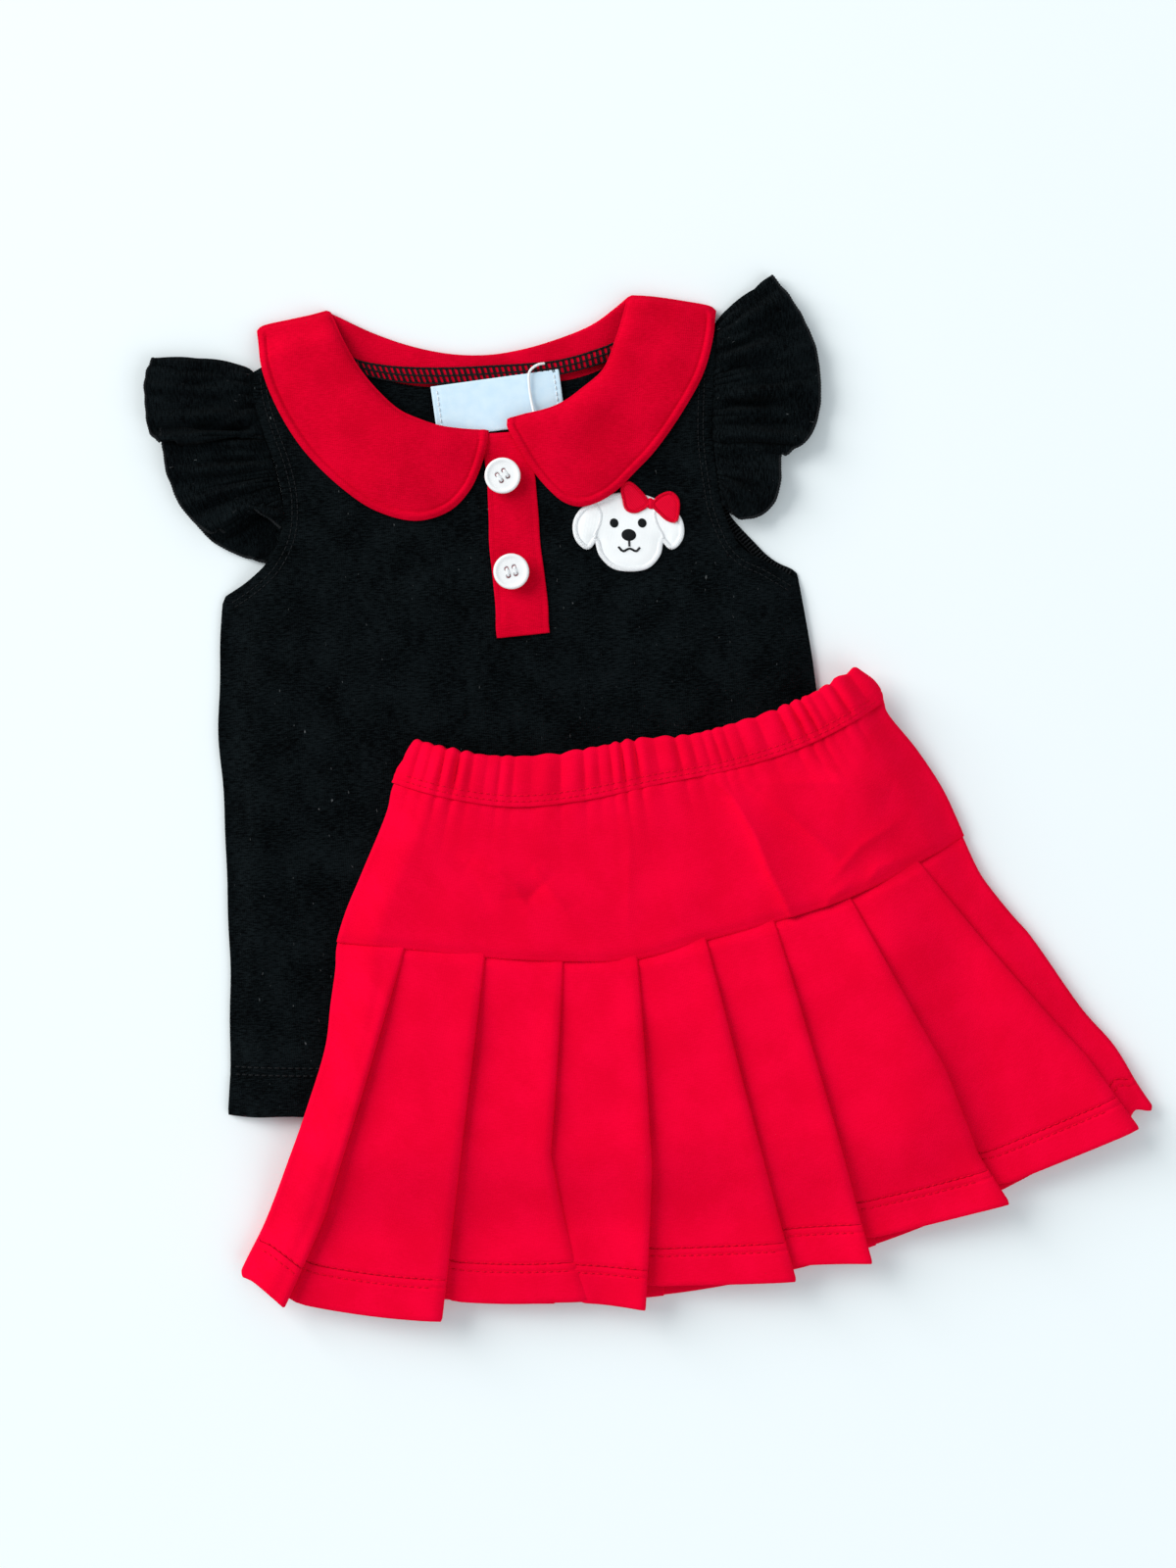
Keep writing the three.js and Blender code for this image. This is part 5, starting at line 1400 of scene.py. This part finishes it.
columns = []
for t in np.linspace(0, 1, 64):

    def yoke_front(a):
        r = down_yoke(a, t)
        below = r - band_stitch(a)
        x, y = r * np.sin(a), -r * np.cos(a)
        z = FRONT_FLOOR + 1.6 + air(a, r) + creases(x, y, YOKE_FOLDS) + 0.35 * ripple(x, y, 42, 81)
        z += 1.3 * ruching(a) * np.exp(-below / 8) - 0.55 * bell(below - 0.5, 1.6)
        return z - 1.35 * bell(yoke_seam(a) - r, 2.6)

    def yoke_back(a):
        r = down_yoke(a, t)
        return 1.6 - 0.3 * ruching(a) * np.exp(-(r - band_stitch(a)) / 9) + 0.3 * bell(yoke_seam(a) - r, 2.6)

    angle, z, _ = around(YOKE_R + YOKE_DEEP * t, yoke_front, yoke_back)
    columns.append(fan(angle, down_yoke(angle, t) + 0.3 * (1 - t), z))
points, faces = thick(np.stack(columns, 1), RUFFLE_PLY, closed=True)
made = finish_piece("skirt_yoke", points, faces, in_skirt, SKIRT_RED, fan_grain(points))
dress(made, "skirt", "skirt_red", "yoke_front", "yoke_back")

a = np.linspace(left_side(YOKE_R) + 0.012, right_side(YOKE_R) - 0.012, 400)
rows = []
for back_off in (0.4, 2.7):
    t = 1 - back_off / BAND_DEEP
    r = down_band(a, t)
    line = fan(a, r, BAND_FLOOR + air(a, r) + band_out(a, t) + 0.28)
    rows.append(stitches(line, 2.2, 2.8, 0.24, 0.4))
dress(finish_piece("waist_stitch", *joined(rows), in_skirt, RED_THREAD), "skirt", "red_thread")

# The pleats: one ribbon that goes round the skirt, folded back under itself at each pleat.
FOLDS = [
    [(-21.8, 291), (-22.9, 408), (-23.8, 448)],
    [(-15.2, 289), (-15.4, 398), (-15.4, 442)],
    [(-8.7, 289), (-9.6, 371), (-9.0, 391), (-8.1, 416), (-7.4, 432)],
    [(-2.6, 290), (-3.2, 379), (-4.3, 436)],
    [(3.2, 287), (4.1, 432)],
    [(9.1, 287), (8.4, 435)],
    [(15.6, 289), (16.6, 370), (16.2, 408), (16.6, 430)],
    [(22.0, 289), (24.7, 397), (24.9, 433)],
]
# The hem's radius at each panel's left and right end.
PANEL_HEMS = [
    (442, 448), (446, 442), (434, 431), (432, 436), (427, 434), (428, 435), (426, 433), (426, 433), (427, 431),
]
PANELS = len(PANEL_HEMS)
SIDE_DIP = 2.6  # the last panel's hem dips and rises this much
FLAT_FOLD = 2  # this one lies down near the hem, and the next panel rises beside it
TUCK_SEAM, TUCK_HEM = 14.0, 8.5
PANEL_COLUMNS, RETURN_COLUMNS = 18, 5
TURN = 0.62  # radius of the turn at a pleat's fold
UNDER_YOKE = 3.0  # the ribbon's upper edge is this far in under the yoke
PLEATS_R, FRONT_DEEP, BACK_DEEP = 290, 145, 143
HIDDEN_SHORT = 4.0  # the tucked cloth hangs this much shorter than what is seen
HEM_STITCHES = (13.0, 16.5)
PLEAT_DEPTH = 148.0
PLEAT_ROWS = np.unique(np.concatenate([np.linspace(0, 1, 74), 1 - np.linspace(10.5, 19, 16) / PLEAT_DEPTH]))


def down_pleats(angle, hem, d):
    top = yoke_seam(angle) - UNDER_YOKE
    return top + (hem - top) * d


def pleat_row(d):
    """The ribbon at depth d, from 0 at the yoke to 1 at the hem: angles, radii, heights, panel number."""
    angle, radius, height, panel = [], [], [], []
    stand = 1.5 + 2.9 * ease(d, 0.26) + 0.7 * ease(d - 0.55, 0.45)
    tuck = (TUCK_SEAM + (TUCK_HEM - TUCK_SEAM) * d) * math.sqrt(max(0.05, min(1, 0.25 + d * 6)))
    swing = float(ease(d - 0.45, 0.5))
    turns = np.linspace(0, math.pi, TURN_COLUMNS // 2 + 3)[1:-1]
    nominal = PLEATS_R + FRONT_DEEP * d
    start = (float(left_side(nominal)) + SIDE_ROUND / nominal, 0.55 * stand + 0.2)
    for k, (left_hem, right_hem) in enumerate(PANEL_HEMS):
        last = k == PANELS - 1
        if last:
            end = (float(right_side(nominal)) - SIDE_ROUND / nominal, 0.45 * stand)
        else:
            fold = np.array(FOLDS[k], float)
            at = np.interp(d, (fold[:, 1] - fold[0, 1]) / (fold[-1, 1] - fold[0, 1]), fold[:, 0])
            lift = stand * (1 + 0.12 * math.sin(2.1 * k + 3 * d))
            end = (math.radians(at), lift)
        if k == FLAT_FOLD:
            end = (end[0], end[1] * (1 - 0.5 * swing))
        w = np.linspace(0, 1, PANEL_COLUMNS)
        a = start[0] + (end[0] - start[0]) * w
        hollow = 0.55 * math.sin(1.7 * k + 1.2) * np.sin(math.pi * w) * ease(d, 0.4)
        z = start[1] + (end[1] - start[1]) * w**1.05 + hollow
        if not last:
            z = z + 0.5 * bell(w - 0.93, 0.09) * ease(d, 0.2)
        if k == FLAT_FOLD + 1:
            z = z + swing * 1.7 * bell(w - 0.24, 0.2)
        hem = left_hem + (right_hem - left_hem) * np.clip((w - 0.15) / 0.85, 0, 1) ** 1.4
        hem = hem - HIDDEN_SHORT * (k > 0) * (1 - ease(w, 0.22))
        if last:
            hem = hem + SIDE_DIP * (bell(w - 0.25, 0.16) - bell(w - 0.72, 0.18))
        angle.append(a)
        radius.append(down_pleats(a, hem, d))
        height.append(z)
        panel.append(np.full(PANEL_COLUMNS, k))
        if last:
            break
        back = end[0] - tuck / nominal
        under = end[1] - 2 * TURN
        low = min(0.95, 0.5 * (under + 0.4))
        next_hem = PANEL_HEMS[k + 1][0]
        a = end[0] + TURN / nominal * np.sin(turns)
        z = (end[1] + under) / 2 + (end[1] - under) / 2 * np.cos(turns)
        w = np.linspace(0, 1, RETURN_COLUMNS)
        a = np.concatenate([a, end[0] + (back - end[0]) * w])
        z = np.concatenate([z, under + (low - under) * w])
        begin = (back, 0.0)
        a = np.concatenate([a, back - 0.5 / nominal * np.sin(turns)])
        z = np.concatenate([z, (low + begin[1]) / 2 + (low - begin[1]) / 2 * np.cos(turns)])
        share = np.linspace(0, 1, len(a))
        hem = right_hem + (next_hem - HIDDEN_SHORT - right_hem) * share
        angle.append(a)
        radius.append(down_pleats(a, hem, d))
        height.append(z)
        panel.append(np.full(len(a), -1))
        start = begin
    return (np.concatenate(part) for part in (angle, radius, height, panel))


def back_row(d):
    """The back's ribbon, from right to left, with its folds facing the floor."""
    nominal = PLEATS_R + BACK_DEEP * d
    side = SIDE_ROUND / nominal
    low, high = float(left_side(nominal)) + side, float(right_side(nominal)) - side
    tuck = (TUCK_SEAM + (TUCK_HEM - TUCK_SEAM) * d) / nominal
    rise = 1.2 + 1.2 * ease(d, 0.3)
    pitch = (high - low) / 8.6
    angle, height = [], []
    start, z0 = high, 1.4
    turns = np.linspace(0, math.pi, 5)[1:-1]
    for k in range(PANELS):
        last = k == PANELS - 1
        end = low if last else high - pitch * (k + 1)
        angle.append(np.linspace(start, end, 8))
        height.append(np.linspace(z0, 1.3 if last else 0.45, 8))
        if last:
            break
        angle.append(end - 0.5 / nominal * np.sin(turns))
        height.append(0.95 - 0.5 * np.cos(turns))
        angle.append(end + tuck * np.linspace(0, 1, 4))
        height.append(1.45 + (rise - 1.3) * np.linspace(0, 1, 4))
        angle.append(end + tuck + 0.4 / nominal * np.sin(turns))
        height.append(0.15 + rise + 0.35 - 0.3 * np.cos(turns))
        start, z0 = end + tuck, 0.7 + rise
    angle, height = np.concatenate(angle), np.concatenate(height)
    hem = 432 - 5 * angle / FAN_HALF
    return angle, down_pleats(angle, hem, d), height


columns = []
for d in PLEAT_ROWS:
    angle, radius, height, panel = pleat_row(d)
    past = radius - yoke_seam(angle)
    x, y = radius * np.sin(angle), -radius * np.cos(angle)
    z = FRONT_FLOOR + 0.45 + height + air(angle, np.minimum(radius, 440))
    z += 0.3 * ripple(x, y, 46, 91) * ease(d, 0.3)
    z -= 1.6 * (1 - ease(past + 1.0, 5)) + 0.5 * bell(past - 0.5, 1.2)
    z -= sum(0.4 * bell((1 - d) * PLEAT_DEPTH - row, 0.7) for row in HEM_STITCHES)
    back_angle, back_radius, back_height = back_row(d)
    turn = SIDE_ROUND * np.sin(FOLD_TURN)
    columns.append(fan(
        np.concatenate([angle, angle[-1] + turn / radius[-1], back_angle, angle[0] - turn / radius[0]]),
        np.concatenate([
            radius, np.linspace(radius[-1], back_radius[0], TURN_COLUMNS),
            back_radius, np.linspace(back_radius[-1], radius[0], TURN_COLUMNS),
        ]),
        np.concatenate([z, folded(z[-1], back_height[0]), back_height, folded(back_height[-1], z[0])]),
    ))
pleats = np.stack(columns, 1)
points, faces = thick(pleats, 0.6, closed=True)
made = finish_piece("skirt_pleats", points, faces, in_skirt, SKIRT_RED, fan_grain(points))
dress(made, "skirt", "skirt_red", "pleats_front", "pleats_back")

rows = []
for above in HEM_STITCHES:
    at = float(np.interp(1 - above / PLEAT_DEPTH, PLEAT_ROWS, np.arange(len(PLEAT_ROWS))))
    j = int(at)
    line = pleats[:, j] + (pleats[:, j + 1] - pleats[:, j]) * (at - j)
    for k in range(PANELS):
        part = line[np.flatnonzero(panel == k)][2 if k else 1: -1] + (0, 0, 0.34)
        rows.append(stitches(spaced(part, 90), 2.2, 3.1, 0.27, 0.4))
dress(finish_piece("skirt_hem_stitch", *joined(rows), in_skirt, RED_THREAD), "skirt", "red_thread")

bpy.context.view_layer.update()
